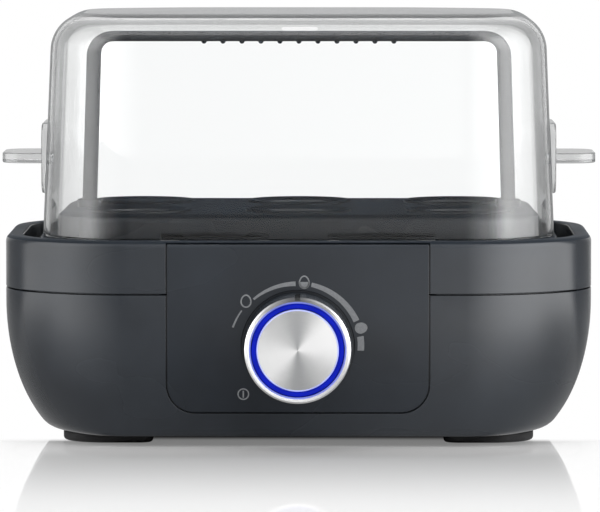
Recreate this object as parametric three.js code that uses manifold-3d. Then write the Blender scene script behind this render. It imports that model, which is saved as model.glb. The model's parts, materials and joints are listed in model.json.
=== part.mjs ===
// An electric egg cooker for six eggs: a plastic base with an upper collar, a heated pan, an egg tray with
// a carrying bow, a clear lid with two side handles, and a lit timer knob on a front panel.
// Millimetres, +Z up, -Y is the front. The origin is at the middle of the footprint, on the worktop.

import * as THREE from "three";
import { mergeVertices } from "three/addons/utils/BufferGeometryUtils.js";
import Module from "manifold-3d";

const wasm = await Module();
wasm.setup();

// Gaps and overruns that every piece shares.
const clearance = 0.3;
const cut = 4;
const weldGap = 0.001;

// How finely round forms are faceted.
const cornerSteps = 6;
const flareSteps = 6;
const roundSteps = 24;
const smallSteps = 8;
const filletSteps = 3;

// The base's outer form: an upright band that draws in towards the floor on an elliptical curve.
const base = {
  width: 201.6,
  depth: 136,
  cornerRadius: 44,
  rimTop: 70,
  seam: 52,
  seamGap: 0.4,
  footGap: 3.5,
  flareTop: 48,
  flareHeight: 50,
  flareWidth: 28,
  endFlareShare: 0.28,
  toeDrop: 2.8,
  toeWidth: 7,
  toeBendShares: [0.44, 0.25],
  leastRadius: 2,
};

// The lower housing's walls and the lip that the bottom cover is screwed to.
const housing = {
  wall: 2.4,
  skirtWidth: 3,
  lipWidth: 7,
  lipThickness: 2.4,
  bossRadius: 3.6,
  bossHeight: 9,
};

// The collar: a flat rim, a moat behind it, a ledge for lid and tray, and a lip over the pan's gasket.
const collar = {
  rimFillet: 2.2,
  rimWidth: 6,
  rimEdge: 0.6,
  moatDraft: 0.6,
  moatWidth: 4.6,
  moatDepth: 10,
  ledgeDrop: 0.8,
  ledgeWidth: 7.6,
  ledgeEdge: 0.4,
  wall: 2.2,
  throatDepth: 4.8,
  lipWidth: 3.8,
  skirtWall: 4.4,
  tongueWall: 1.6,
  tongueDepth: 5,
  bossRadius: 2.2,
};

// The front panel, set flush into the housing and the collar.
const panel = {
  width: 88.3,
  bottom: 12,
  topDrop: 1,
  cornerRadius: 9.4,
  thickness: 2,
  groove: 0.45,
  backing: 2.2,
  ledge: 6,
  knobHoleRadius: 16.2,
  dishWidth: 2.9,
  dishDepth: 0.7,
  postRadius: 2.6,
  postInset: 9.5,
};

// The bottom cover and what stands on it.
const cover = {
  thickness: 3,
  vents: 5,
  ventPitch: 12,
  ventLength: 34,
  ventWidth: 3,
  screwSpanShare: 0.53,
  postRadius: 3,
  postHeight: 4,
};

// Screws of two sizes and the stud nuts.
const coverScrew = { headRadius: 3, headHeight: 1.5, shankRadius: 1.4, length: 10 };
const smallScrew = { headRadius: 2.1, headHeight: 1.4, shankRadius: 1.1, length: 7 };
const studNut = { radius: 4, height: 3.2 };

// The rubber feet follow the base's rounded corners.
const foot = {
  length: 31,
  depth: 31,
  sideInset: 20.2,
  endInset: 18,
  bevel: 1.2,
  pegRadius: 2.2,
  pegHeight: 3.6,
  cornerShare: 0.62,
};

// The boiling pan, its gasket and the frame that clamps it up against the collar.
const pan = {
  sheet: 1,
  flangeWidth: 8.4,
  depth: 12.7,
  wallSlope: 4,
  bendRadius: 1.6,
  gasketHeight: 1.9,
  gasketWidth: 5.4,
  retainerThickness: 1.5,
  retainerInner: 1,
  studRadius: 2,
  studShare: 0.4,
};

// The heating element is a U of tube pressed under a spreader plate.
const heater = {
  tubeRadius: 3.25,
  plateThickness: 3,
  plateMargin: 2.4,
  runInset: 9,
  pinRadius: 1.4,
  pinLength: 5,
  clampWidth: 9,
  clampThickness: 2,
  tubeSides: 8,
  pathSteps: 22,
};

// Temperature parts under the spreader plate.
const sensor = {
  thermostatRadius: 8,
  thermostatHeight: 6,
  flangeLength: 25,
  flangeWidth: 9,
  flangeThickness: 1.2,
  fuseRadius: 2,
  fuseLength: 14,
};

// The knob and the shaft that it turns. Its axis stands square to the front panel.
const knob = {
  height: 34.4,
  radius: 18.4,
  length: 14.9,
  panelGap: 0.6,
  bezelWidth: 2.6,
  bezelTaper: 0.7,
  bezelChamfer: 0.8,
  ringWidth: 1.6,
  ringRecess: 0.5,
  ringFlange: 1.4,
  faceThickness: 1.2,
  faceChamfer: 0.5,
  webThickness: 2,
  coreWall: 1.5,
  hubRadius: 5.5,
  shaftRadius: 3,
  shaftFlat: 0.6,
  pointerWidth: 1.3,
  pointerDepth: 0.6,
  pointerLength: 1.7,
};

// Electronics behind the panel.
const control = {
  boardThickness: 1.6,
  boardWidth: 74,
  boardHeight: 32,
  ledBoardRadius: 15.6,
  ledSize: 1.6,
  leds: 8,
  bodyRadius: 8.5,
  bodyLength: 7.2,
  bushRadius: 4,
  bushLength: 5,
  nutRadius: 6,
  nutLength: 1.8,
  panelSpace: 2,
  buzzerRadius: 6,
  buzzerLength: 7,
  relayWidth: 19,
  relayLength: 12,
  relayHeight: 15,
  capacitorRadius: 4,
  capacitorLength: 11,
  partSpreadShare: 0.34,
};

// Mains parts at the rear: gland, clamp and terminal block.
const mains = {
  glandInset: 54.8,
  glandHeight: 24,
  flangeRadius: 6.4,
  flangeLength: 2.6,
  neckRadius: 4.6,
  boreRadius: 3.2,
  innerLength: 5,
  clampLength: 22,
  clampWidth: 7,
  clampThickness: 2.6,
  clampReach: 16,
  blockLength: 24,
  blockWidth: 12,
  blockHeight: 11,
  blockGap: 9,
};

// The egg tray: a plate on a skirt, with six chamfered holes and sockets for the bow.
const tray = {
  gap: 3,
  top: 78,
  shoulder: 3,
  wall: 2,
  skirtBottom: 71.8,
  footLength: 20,
  holeRadius: 16.5,
  holeChamfer: 1.4,
  rimHeight: 0.9,
  rimWidth: 1.6,
  endMargin: 11.5,
  sideMargin: 7.7,
  socketWall: 1.6,
  socketHeight: 2.4,
};

// The carrying bow over the eggs.
const bow = {
  lidGap: 9.3,
  splay: 1.6,
  top: 139.2,
  barThickness: 4.4,
  legThickness: 5,
  depth: 7.6,
  cornerRadius: 9.5,
  edge: 0.9,
  ribs: 11,
  ribPitch: 6.6,
  ribRadius: 0.9,
  ribDepthShare: 0.8,
};

// The clear lid.
const lid = {
  wall: 2,
  top: 146,
  crown: 1.5,
  draft: 2.7,
  topRadius: 13,
  ventWidth: 13,
  ventHeight: 2.6,
  ventDrop: 5.5,
};

// The handles on the lid's two ends.
const grip = {
  plateHeight: 24.4,
  plateWidth: 38,
  plateThickness: 1.2,
  plateRadius: 5,
  centre: 95.5,
  tabThickness: 3.5,
  tabWidth: 34,
  tabRadius: 8,
  reach: 14.8,
};

// Colours and finishes of the real pieces.
const finishes = {
  darkPlastic: { color: 0x3a3e43, roughness: 0.38, metalness: 0 },
  panelPlastic: { color: 0x404449, roughness: 0.3, metalness: 0 },
  blackPlastic: { color: 0x1d1f21, roughness: 0.5, metalness: 0 },
  rubber: { color: 0x17181a, roughness: 0.85, metalness: 0 },
  silicone: { color: 0x8d8f8c, roughness: 0.7, metalness: 0 },
  steel: { color: 0xb9bcbf, roughness: 0.3, metalness: 1 },
  aluminium: { color: 0xc9ccd0, roughness: 0.28, metalness: 1 },
  clear: { color: 0xe8eef0, roughness: 0.05, metalness: 0, transparent: true, opacity: 0.25 },
  blueLight: { color: 0x2436d8, roughness: 0.4, metalness: 0 },
  board: { color: 0x1f5a3a, roughness: 0.6, metalness: 0 },
  component: { color: 0x26282b, roughness: 0.5, metalness: 0 },
  ceramic: { color: 0xe5e0d4, roughness: 0.6, metalness: 0 },
};

// Heights and depths that several pieces share.
const halfWidth = base.width / 2;
const halfDepth = base.depth / 2;
const moatFloor = base.rimTop - collar.moatDepth;
const ledgeTop = base.rimTop - collar.ledgeDrop;
const moatOuter = collar.rimWidth + collar.moatDraft;
const moatInner = moatOuter + collar.moatWidth;
const ledgeOuter = moatInner + collar.moatDraft + collar.ledgeEdge;
const ledgeInner = ledgeOuter + collar.ledgeWidth;
const throatBottom = ledgeTop - collar.throatDepth;
const lipInner = ledgeInner + collar.moatDraft + collar.lipWidth;
const lipBottom = throatBottom - collar.wall;
const throatBack = ledgeInner - collar.wall;
const gasketTop = lipBottom - clearance;
const flangeTop = gasketTop - pan.gasketHeight - clearance;
const flangeOuter = throatBack + 3 * clearance;
const panWall = flangeOuter + pan.flangeWidth;
const panFloor = flangeTop - pan.depth;
const plateTop = panFloor - pan.sheet - clearance;
const plateBottom = plateTop - heater.plateThickness;
const tubeHeight = plateBottom - clearance - heater.tubeRadius;
const clampTop = tubeHeight - heater.tubeRadius - clearance;
const clampBottom = clampTop - heater.clampThickness;
const retainerTop = flangeTop - pan.sheet - clearance;
const retainerBottom = retainerTop - pan.retainerThickness;
const retainerOuter = ledgeOuter + collar.wall;
const collarScrewInset = (retainerOuter + throatBack) / 2;
const coverTop = base.footGap + cover.thickness;
const lipFloor = coverTop + clearance;
const lipRoof = lipFloor + housing.lipThickness;
const coverHole = coverScrew.shankRadius + clearance;
const smallHole = smallScrew.shankRadius + clearance;
const lidOuter = ledgeOuter + 2 * clearance;
const lidBottom = ledgeTop + clearance;
const trayOuter = lidOuter + lid.wall + tray.gap;
const trayBottom = ledgeTop + clearance;
const holePitch = halfWidth - trayOuter - tray.endMargin - tray.holeRadius;
const rowPitch = halfDepth - trayOuter - tray.sideMargin - tray.holeRadius;
const bowHalf = halfWidth - lidOuter - lid.draft - lid.wall - bow.lidGap;
const glandX = halfWidth - mains.glandInset;

// A surface whose shared points are merged becomes a solid that can be joined and cut.
function solid(geometry) {
  const loose = geometry.index ? geometry.toNonIndexed() : geometry;
  const bare = new THREE.BufferGeometry().setAttribute("position", loose.getAttribute("position"));
  const merged = mergeVertices(bare, weldGap);
  return new wasm.Manifold(
    new wasm.Mesh({
      numProp: 3,
      vertProperties: new Float32Array(merged.attributes.position.array),
      triVerts: new Uint32Array(merged.index.array),
    }),
  );
}

function geometryOf(body) {
  const mesh = body.getMesh();
  const geometry = new THREE.BufferGeometry();
  geometry.setAttribute("position", new THREE.BufferAttribute(mesh.vertProperties, 3));
  geometry.setIndex(new THREE.BufferAttribute(mesh.triVerts, 1));
  geometry.computeVertexNormals();
  return geometry;
}

// The points of one rounded rectangle at a height, anticlockwise seen from above.
function roundedRing(halfX, halfY, radiusX, radiusY, z) {
  const ring = [];
  for (let corner = 0; corner < 4; corner++) {
    const signX = corner === 0 || corner === 3 ? 1 : -1;
    const signY = corner < 2 ? 1 : -1;
    for (let step = 0; step <= cornerSteps; step++) {
      const angle = (corner + step / cornerSteps) * (Math.PI / 2);
      const x = signX * (halfX - radiusX) + radiusX * Math.cos(angle);
      const y = signY * (halfY - radiusY) + radiusY * Math.sin(angle);
      ring.push([x, y, z]);
    }
  }
  return ring;
}

// The base's plan drawn in by the same or different amounts at its ends and its sides.
function planRing(insetX, insetY, z) {
  const radiusX = Math.max(base.cornerRadius - insetX, base.leastRadius);
  const radiusY = Math.max(base.cornerRadius - insetY, base.leastRadius);
  return roundedRing(halfWidth - insetX, halfDepth - insetY, radiusX, radiusY, z);
}

// A skin through rings of equally many points. A closed one returns to its first ring, an open one is capped.
function skin(rings, closed = false) {
  const count = rings[0].length;
  const points = rings.flat();
  const faces = [];
  const spans = closed ? rings.length : rings.length - 1;
  for (let span = 0; span < spans; span++) {
    const low = span * count;
    const high = ((span + 1) % rings.length) * count;
    for (let i = 0; i < count; i++) {
      const next = (i + 1) % count;
      faces.push(low + i, low + next, high + next, low + i, high + next, high + i);
    }
  }
  if (!closed) {
    const last = (rings.length - 1) * count;
    const floor = points.push(middleOf(rings[0])) - 1;
    const roof = points.push(middleOf(rings[rings.length - 1])) - 1;
    for (let i = 0; i < count; i++) {
      const next = (i + 1) % count;
      faces.push(floor, next, i, roof, last + i, last + next);
    }
  }
  const geometry = new THREE.BufferGeometry();
  geometry.setAttribute("position", new THREE.Float32BufferAttribute(points.flat(), 3));
  geometry.setIndex(faces);
  return solid(geometry);
}

function middleOf(ring) {
  return [0, 1, 2].map((axis) => ring.reduce((sum, point) => sum + point[axis], 0) / ring.length);
}

// Primitive solids, each placed by its own extent.
function block(fromX, toX, fromY, toY, fromZ, toZ) {
  const shape = new THREE.BoxGeometry(toX - fromX, toY - fromY, toZ - fromZ);
  return solid(shape.translate((fromX + toX) / 2, (fromY + toY) / 2, (fromZ + toZ) / 2));
}

function uprightRod(radius, x, y, fromZ, toZ, sides = smallSteps) {
  const shape = new THREE.CylinderGeometry(radius, radius, toZ - fromZ, sides).rotateX(Math.PI / 2);
  return solid(shape.translate(x, y, (fromZ + toZ) / 2));
}

function frontRod(radius, x, z, fromY, toY, sides = smallSteps) {
  const shape = new THREE.CylinderGeometry(radius, radius, toY - fromY, sides);
  return solid(shape.translate(x, (fromY + toY) / 2, z));
}

function crossRod(radius, y, z, fromX, toX, sides = smallSteps) {
  const shape = new THREE.CylinderGeometry(radius, radius, toX - fromX, sides).rotateZ(Math.PI / 2);
  return solid(shape.translate((fromX + toX) / 2, y, z));
}

// A round piece about the front-to-back line through (x, z). Its outline lists [radius, y].
function frontLathe(outline, x, z, sides = roundSteps) {
  const points = outline.map(([radius, y]) => new THREE.Vector2(radius, y));
  return solid(new THREE.LatheGeometry(points, sides).translate(x, 0, z));
}

// A flat outline in the X-Z plane, given depth from one Y to another.
function frontPrism(shape, fromY, toY, edge = 0, curveSegments = cornerSteps) {
  const geometry = new THREE.ExtrudeGeometry(shape, {
    depth: toY - fromY - 2 * edge,
    curveSegments,
    bevelEnabled: edge > 0,
    bevelThickness: edge,
    bevelSize: edge,
    bevelOffset: -edge,
    bevelSegments: 1,
  });
  return solid(geometry.rotateX(Math.PI / 2).translate(0, toY - edge, 0));
}

// A flat outline in the X-Y plane, given height from one Z to another.
function uprightPrism(shape, fromZ, toZ, curveSegments = cornerSteps) {
  const options = { depth: toZ - fromZ, curveSegments, bevelEnabled: false };
  const geometry = new THREE.ExtrudeGeometry(shape, options);
  return solid(geometry.translate(0, 0, fromZ));
}

function roundedShape(fromX, toX, fromY, toY, radius) {
  const quarter = Math.PI / 2;
  const shape = new THREE.Shape();
  shape.absarc(toX - radius, toY - radius, radius, 0, quarter);
  shape.absarc(fromX + radius, toY - radius, radius, quarter, 2 * quarter);
  shape.absarc(fromX + radius, fromY + radius, radius, 2 * quarter, 3 * quarter);
  shape.absarc(toX - radius, fromY + radius, radius, 3 * quarter, 4 * quarter);
  shape.closePath();
  return shape;
}

function joined(pieces) {
  return pieces.reduce((sum, piece) => sum.add(piece));
}

// The quarter turns of a fillet as [inset, height] from its upright start to its level end.
function fillet(startInset, topHeight, radius, inwards = 1) {
  const points = [];
  for (let step = 0; step <= filletSteps; step++) {
    const angle = ((step / filletSteps) * Math.PI) / 2;
    const inset = startInset + inwards * radius * (1 - Math.cos(angle));
    points.push([inset, topHeight - radius * (1 - Math.sin(angle))]);
  }
  return points;
}

// How far the base's side has drawn in at a height.
function flareAt(z) {
  const drop = Math.min(Math.max((base.flareTop - z) / base.flareHeight, 0), 1);
  return base.flareWidth * (1 - Math.sqrt(1 - drop * drop));
}

// The base's outer form from its toe to the rim as [insetX, insetY, z], drawn in by an even amount.
function bodyOutline(inset) {
  const start = base.footGap + base.toeDrop;
  const [bendAcross, bendUp] = base.toeBendShares;
  const outline = [
    [flareAt(start) + base.toeWidth, base.footGap],
    [flareAt(start) + base.toeWidth * bendAcross, base.footGap + base.toeDrop * bendUp],
  ];
  for (let step = 0; step < flareSteps; step++) {
    const angle = ((1 - step / flareSteps) * Math.PI) / 2;
    const z = base.flareTop - (base.flareTop - start) * Math.sin(angle);
    outline.push([flareAt(z), z]);
  }
  outline.push([0, base.seam]);
  outline.push(...fillet(0, base.rimTop, collar.rimFillet));
  return outline.map(([side, z]) => [side + inset, side * base.endFlareShare + inset, z]);
}

function bodySolid(inset) {
  return skin(bodyOutline(inset).map((point) => planRing(...point)));
}

// The front panel's outline in the X-Z plane, grown by a margin.
function panelShape(margin) {
  const half = panel.width / 2 + margin;
  const radius = panel.cornerRadius + margin;
  const low = panel.bottom - margin;
  const top = base.rimTop - panel.topDrop + margin;
  const shape = new THREE.Shape();
  shape.moveTo(half, top);
  shape.lineTo(-half, top);
  shape.absarc(radius - half, low + radius, radius, Math.PI, 1.5 * Math.PI);
  shape.absarc(half - radius, low + radius, radius, 1.5 * Math.PI, 2 * Math.PI);
  shape.closePath();
  return shape;
}

const panelRecess = panel.thickness + clearance;
const recessCutter = frontPrism(panelShape(panel.groove), -halfDepth - cut, -halfDepth / 2).subtract(
  bodySolid(panelRecess),
);
const backingHalf = panel.width / 2 + panel.backing;
const windowHalf = panel.width / 2 - panel.ledge;
const windowCutter = block(
  -windowHalf,
  windowHalf,
  -halfDepth - cut,
  -halfDepth + 2 * panelRecess + 2 * panel.backing,
  panel.bottom + panel.ledge,
  base.seam + clearance,
);

// Places shared by screws and the bosses that take them.
const lipMiddle = housing.skirtWidth + clearance + housing.lipWidth / 2;
const toeInset = flareAt(base.footGap + base.toeDrop) + base.toeWidth;
const toeEndInset = toeInset * base.endFlareShare;
const coverScrewY = halfDepth - toeEndInset - lipMiddle;
const coverScrewX = (halfWidth - toeInset) * cover.screwSpanShare;
const sides = [-1, 1];
const corners = sides.flatMap((sideX) => sides.map((sideY) => [sideX, sideY]));
const coverScrewPlaces = corners.map(([sideX, sideY]) => [sideX * coverScrewX, sideY * coverScrewY]);
const collarScrewPlaces = [
  [halfWidth - collarScrewInset, 0],
  [collarScrewInset - halfWidth, 0],
  [0, halfDepth - collarScrewInset],
  [0, collarScrewInset - halfDepth],
];

function lowerHousing() {
  const outer = bodyOutline(0).filter(([, , z]) => z < base.seam);
  const seamEdge = base.seam - base.seamGap / 2;
  const inner = outer.slice(2).filter(([, , z]) => z > lipRoof);
  const lip = (depth, z) => [toeInset + depth, toeEndInset + depth, z];
  const wallPoint = ([x, y, z]) => [x + housing.wall, y + housing.wall, z];
  const lipWall = flareAt(lipRoof);
  const outline = [
    ...outer,
    [0, 0, seamEdge],
    wallPoint([0, 0, seamEdge]),
    ...inner.reverse().map(wallPoint),
    wallPoint([lipWall, lipWall * base.endFlareShare, lipRoof]),
    lip(housing.skirtWidth + housing.lipWidth, lipRoof),
    lip(housing.skirtWidth + housing.lipWidth, lipFloor),
    lip(housing.skirtWidth, lipFloor),
    lip(housing.skirtWidth, base.footGap),
  ];
  let shell = skin(outline.map((point) => planRing(...point)), true);
  const backing = block(-backingHalf, backingHalf, -halfDepth, -halfDepth / 2, lipRoof, seamEdge)
    .intersect(bodySolid(panelRecess))
    .subtract(bodySolid(panelRecess + panel.backing));
  shell = shell.add(backing).subtract(recessCutter).subtract(windowCutter);
  for (const [x, y] of coverScrewPlaces) {
    shell = shell.add(uprightRod(housing.bossRadius, x, y, lipFloor, lipRoof + housing.bossHeight));
  }
  for (const [x, y] of coverScrewPlaces) {
    const top = lipRoof + housing.bossHeight - housing.wall;
    shell = shell.subtract(uprightRod(coverHole, x, y, base.footGap, top));
  }
  const bore = frontRod(
    mains.neckRadius + clearance,
    glandX,
    mains.glandHeight,
    halfDepth / 2,
    halfDepth + cut,
    roundSteps,
  );
  return shell.subtract(bore);
}

function rimCollar() {
  const bottom = base.seam + base.seamGap / 2;
  const tongueInner = collar.skirtWall;
  const tongueOuter = tongueInner - collar.tongueWall;
  const moatUnder = moatFloor - collar.wall;
  const ledgeUnder = ledgeTop - collar.wall;
  const outline = [
    [0, bottom],
    ...fillet(0, base.rimTop, collar.rimFillet),
    [collar.rimWidth - collar.rimEdge, base.rimTop],
    [collar.rimWidth, base.rimTop - collar.rimEdge],
    [moatOuter, moatFloor],
    [moatInner, moatFloor],
    [moatInner + collar.moatDraft, ledgeTop - collar.ledgeEdge],
    [ledgeOuter, ledgeTop],
    [ledgeInner, ledgeTop],
    [ledgeInner + collar.moatDraft, throatBottom],
    [lipInner, throatBottom],
    [lipInner, lipBottom],
    [throatBack, lipBottom],
    [throatBack, ledgeUnder],
    [moatInner + collar.moatDraft + collar.wall, ledgeUnder],
    [moatInner + collar.wall, moatUnder],
    [tongueInner, moatUnder],
    [tongueInner, bottom - collar.tongueDepth],
    [tongueOuter, bottom - collar.tongueDepth],
    [tongueOuter, bottom],
  ];
  let ring = skin(outline.map(([inset, z]) => planRing(inset, inset, z)), true);
  const tongueGap = block(
    -backingHalf - clearance,
    backingHalf + clearance,
    -halfDepth - cut,
    -halfDepth / 2,
    base.seam - collar.tongueDepth - cut,
    bottom,
  );
  ring = ring.subtract(recessCutter).subtract(tongueGap);
  for (const [x, y] of collarScrewPlaces) {
    ring = ring.add(uprightRod(collar.bossRadius, x, y, flangeTop - pan.sheet, ledgeUnder + clearance));
  }
  for (const [x, y] of collarScrewPlaces) {
    const holeTop = ledgeUnder;
    ring = ring.subtract(uprightRod(smallHole, x, y, flangeTop - cut, holeTop));
  }
  return ring;
}

// The panel's back stays parallel to its face. Posts behind it carry the control board.
const boardFront = -halfDepth + panel.thickness + control.panelSpace + control.boardThickness
  + clearance + control.bodyLength + clearance;
const boardPostPlaces = corners.map(([sideX, sideZ]) => [
  sideX * (control.boardWidth / 2 - panel.postInset / 2),
  knob.height + sideZ * (control.boardHeight / 2 - panel.postRadius - clearance),
]);

function frontPanel() {
  let face = frontPrism(panelShape(0), -halfDepth - cut, -halfDepth / 2).intersect(bodySolid(0));
  face = face.subtract(bodySolid(panel.thickness));
  const front = -halfDepth - cut;
  const dishRadius = panel.knobHoleRadius + panel.dishWidth;
  const dishFloor = faceAt(knob.height) + panel.dishDepth;
  face = face.subtract(frontRod(dishRadius, 0, knob.height, front, dishFloor, roundSteps));
  face = face.subtract(frontRod(panel.knobHoleRadius, 0, knob.height, front, -halfDepth / 2, roundSteps));
  for (const [x, z] of boardPostPlaces) {
    const post = frontRod(panel.postRadius, x, z, -halfDepth, boardFront - clearance);
    face = face.add(post.intersect(bodySolid(panel.thickness / 2)));
  }
  for (const [x, z] of boardPostPlaces) {
    const hole = frontRod(smallHole, x, z, boardFront - smallScrew.length, boardFront);
    face = face.subtract(hole);
  }
  return face;
}

// The cover fills the housing's foot opening. Screws, feet and mains posts follow its own corners.
const coverInset = housing.skirtWidth + clearance;
const blockX = glandX - mains.blockLength / 2 - mains.blockGap - mains.clampLength / 2;
const clampY = halfDepth - toeEndInset - mains.clampReach;
const clampPosts = sides.map((side) => [
  glandX + side * (mains.clampLength / 2 - cover.postRadius),
  clampY,
]);
const clampSeat = mains.glandHeight - mains.boreRadius;
const feet = corners.map(([sideX, sideY]) => {
  const end = sideY < 0 ? "front" : "rear";
  return { sideX, sideY, name: `foot_${end}_${sideX < 0 ? "left" : "right"}` };
});

function footPeg({ sideX, sideY }) {
  return [
    sideX * (halfWidth - foot.sideInset - foot.length / 2),
    sideY * (halfDepth - foot.endInset - foot.depth / 2),
  ];
}

function bottomCover() {
  const edge = (z) => planRing(toeInset + coverInset, toeEndInset + coverInset, z);
  let plate = skin([edge(base.footGap), edge(coverTop)]);
  for (const [x, y] of coverScrewPlaces) {
    const seat = base.footGap + coverScrew.headHeight + clearance;
    plate = plate.subtract(uprightRod(coverScrew.headRadius + clearance, x, y, base.footGap - cut, seat));
    plate = plate.subtract(uprightRod(coverHole, x, y, base.footGap, coverTop + cut));
  }
  for (const place of feet) {
    const [x, y] = footPeg(place);
    plate = plate.subtract(uprightRod(foot.pegRadius + clearance, x, y, base.footGap - cut, coverTop + cut));
  }
  for (let i = 0; i < cover.vents; i++) {
    const x = (i - (cover.vents - 1) / 2) * cover.ventPitch;
    const slot = roundedShape(
      x - cover.ventWidth / 2,
      x + cover.ventWidth / 2,
      -cover.ventLength / 2,
      cover.ventLength / 2,
      cover.ventWidth / 2 - weldGap * 2,
    );
    plate = plate.subtract(uprightPrism(slot, base.footGap - cut, coverTop + cut, 2));
  }
  for (const [x, y] of clampPosts) {
    plate = plate.add(uprightRod(cover.postRadius, x, y, coverTop - clearance, clampSeat - clearance));
  }
  for (const [x, y] of clampPosts) {
    plate = plate.subtract(uprightRod(smallHole, x, y, coverTop, clampSeat));
  }
  const half = mains.blockLength / 2 - cover.postRadius;
  for (const side of sides) {
    const x = blockX + side * half;
    const post = uprightRod(cover.postRadius, x, clampY, coverTop - clearance, coverTop + cover.postHeight);
    plate = plate.add(post);
  }
  return plate;
}

// A pad with a large outer corner, a bevelled tread and a peg that snaps into the cover.
function footPad(place) {
  const outline = (grow) => {
    const halfX = foot.length / 2 - grow;
    const halfY = foot.depth / 2 - grow;
    const outer = Math.min(halfX, halfY) * 2 * foot.cornerShare;
    const shape = new THREE.Shape();
    shape.moveTo(-halfX, -halfY);
    shape.lineTo(halfX, -halfY);
    shape.lineTo(halfX, halfY - outer);
    shape.absarc(halfX - outer, halfY - outer, outer, 0, Math.PI / 2);
    shape.lineTo(-halfX, halfY);
    shape.closePath();
    return shape.getPoints(cornerSteps).slice(0, -1);
  };
  const [x, y] = footPeg(place);
  const flip = place.sideX * place.sideY;
  const level = (grow, z) => {
    const ring = outline(grow).map((point) => [x + place.sideX * point.x, y + place.sideY * point.y, z]);
    return flip < 0 ? ring.reverse() : ring;
  };
  const top = base.footGap - clearance;
  const pad = skin([level(foot.bevel, 0), level(0, foot.bevel), level(0, top)]);
  return pad.add(uprightRod(foot.pegRadius, x, y, top - foot.bevel, top + foot.pegHeight));
}

function screw({ headRadius, headHeight, shankRadius, length }, x, y, headBottom) {
  const seat = headBottom + headHeight;
  const head = uprightRod(headRadius, x, y, headBottom, seat);
  return head.add(uprightRod(shankRadius, x, y, seat - headHeight / 2, seat + length));
}

function backScrew({ headRadius, headHeight, shankRadius, length }, x, z, headFront) {
  const head = frontRod(headRadius, x, z, headFront, headFront + headHeight);
  return head.add(frontRod(shankRadius, x, z, headFront - length, headFront + headHeight / 2));
}

// The pan: a flange under the collar's lip, sloped walls, a flat floor and two studs beneath.
const studX = (halfWidth - panWall - pan.wallSlope) * pan.studShare;
const studPlaces = sides.map((side) => [side * studX, 0]);

function boilingPan() {
  const wall = panWall;
  const floorInset = wall + pan.wallSlope;
  const bend = pan.bendRadius;
  const rows = [
    [floorInset + bend, panFloor - pan.sheet],
    [floorInset - pan.sheet + bend / 2, panFloor - pan.sheet + bend / 2],
    [wall - pan.sheet, flangeTop - pan.sheet - bend],
    [wall - pan.sheet - bend / 2, flangeTop - pan.sheet],
    [flangeOuter, flangeTop - pan.sheet],
    [flangeOuter, flangeTop],
    [wall - bend / 2, flangeTop],
    [wall, flangeTop - bend],
    [floorInset + bend / 4, panFloor + bend / 2],
    [floorInset + bend + pan.sheet, panFloor],
  ];
  let dish = skin(rows.map(([inset, z]) => planRing(inset, inset, z)));
  for (const [x, y] of studPlaces) {
    const end = clampBottom - studNut.height - 2 * clearance;
    dish = dish.add(uprightRod(pan.studRadius, x, y, end, panFloor - pan.sheet / 2));
  }
  return dish;
}

function flatRing(outer, inner, bottom, top) {
  const rows = [[outer, bottom], [outer, top], [inner, top], [inner, bottom]];
  return skin(rows.map(([inset, z]) => planRing(inset, inset, z)), true);
}

function panGasket() {
  return flatRing(flangeOuter, flangeOuter + pan.gasketWidth, gasketTop - pan.gasketHeight, gasketTop);
}

function panRetainer() {
  let ring = flatRing(
    retainerOuter + 2 * clearance,
    panWall - pan.sheet - pan.bendRadius - pan.retainerInner,
    retainerBottom,
    retainerTop,
  );
  for (const [x, y] of collarScrewPlaces) {
    ring = ring.subtract(uprightRod(smallHole, x, y, retainerBottom - cut, retainerTop + cut));
  }
  return ring;
}

// The heater's U of tube: two straight runs joined by a half turn at one end.
const floorInset = panWall + pan.wallSlope + pan.bendRadius;
const runY = halfDepth - floorInset - heater.runInset;
const turnX = halfWidth - floorInset - heater.runInset - runY;
const tailX = -(halfWidth - floorInset - heater.runInset);

class HeaterPath extends THREE.Curve {
  getPoint(share) {
    const straight = turnX - tailX;
    const turn = Math.PI * runY;
    const travelled = share * (2 * straight + turn);
    if (travelled < straight) return new THREE.Vector3(tailX + travelled, -runY, tubeHeight);
    if (travelled > straight + turn) {
      return new THREE.Vector3(turnX - (travelled - straight - turn), runY, tubeHeight);
    }
    const angle = (travelled - straight) / runY - Math.PI / 2;
    return new THREE.Vector3(turnX + runY * Math.cos(angle), runY * Math.sin(angle), tubeHeight);
  }
}

function heatingElement() {
  const section = new THREE.Shape();
  for (let i = 0; i < heater.tubeSides; i++) {
    const angle = ((i + 1 / 2) / heater.tubeSides) * 2 * Math.PI;
    const point = [heater.tubeRadius * Math.cos(angle), heater.tubeRadius * Math.sin(angle)];
    if (i === 0) section.moveTo(...point);
    else section.lineTo(...point);
  }
  section.closePath();
  const tube = solid(
    new THREE.ExtrudeGeometry(section, {
      steps: heater.pathSteps,
      extrudePath: new HeaterPath(),
      curveSegments: 1,
      bevelEnabled: false,
    }),
  );
  const pins = sides.map((side) =>
    crossRod(heater.pinRadius, side * runY, tubeHeight, tailX - heater.pinLength, tailX + heater.pinRadius),
  );
  return joined([tube, ...pins]);
}

function spreaderPlate() {
  const inset = floorInset + heater.plateMargin;
  const edge = (z) => planRing(inset, inset, z);
  let plate = skin([edge(plateBottom), edge(plateTop)]);
  for (const [x, y] of studPlaces) {
    plate = plate.subtract(uprightRod(pan.studRadius + clearance, x, y, plateBottom - cut, plateTop + cut));
  }
  return plate;
}

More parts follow.
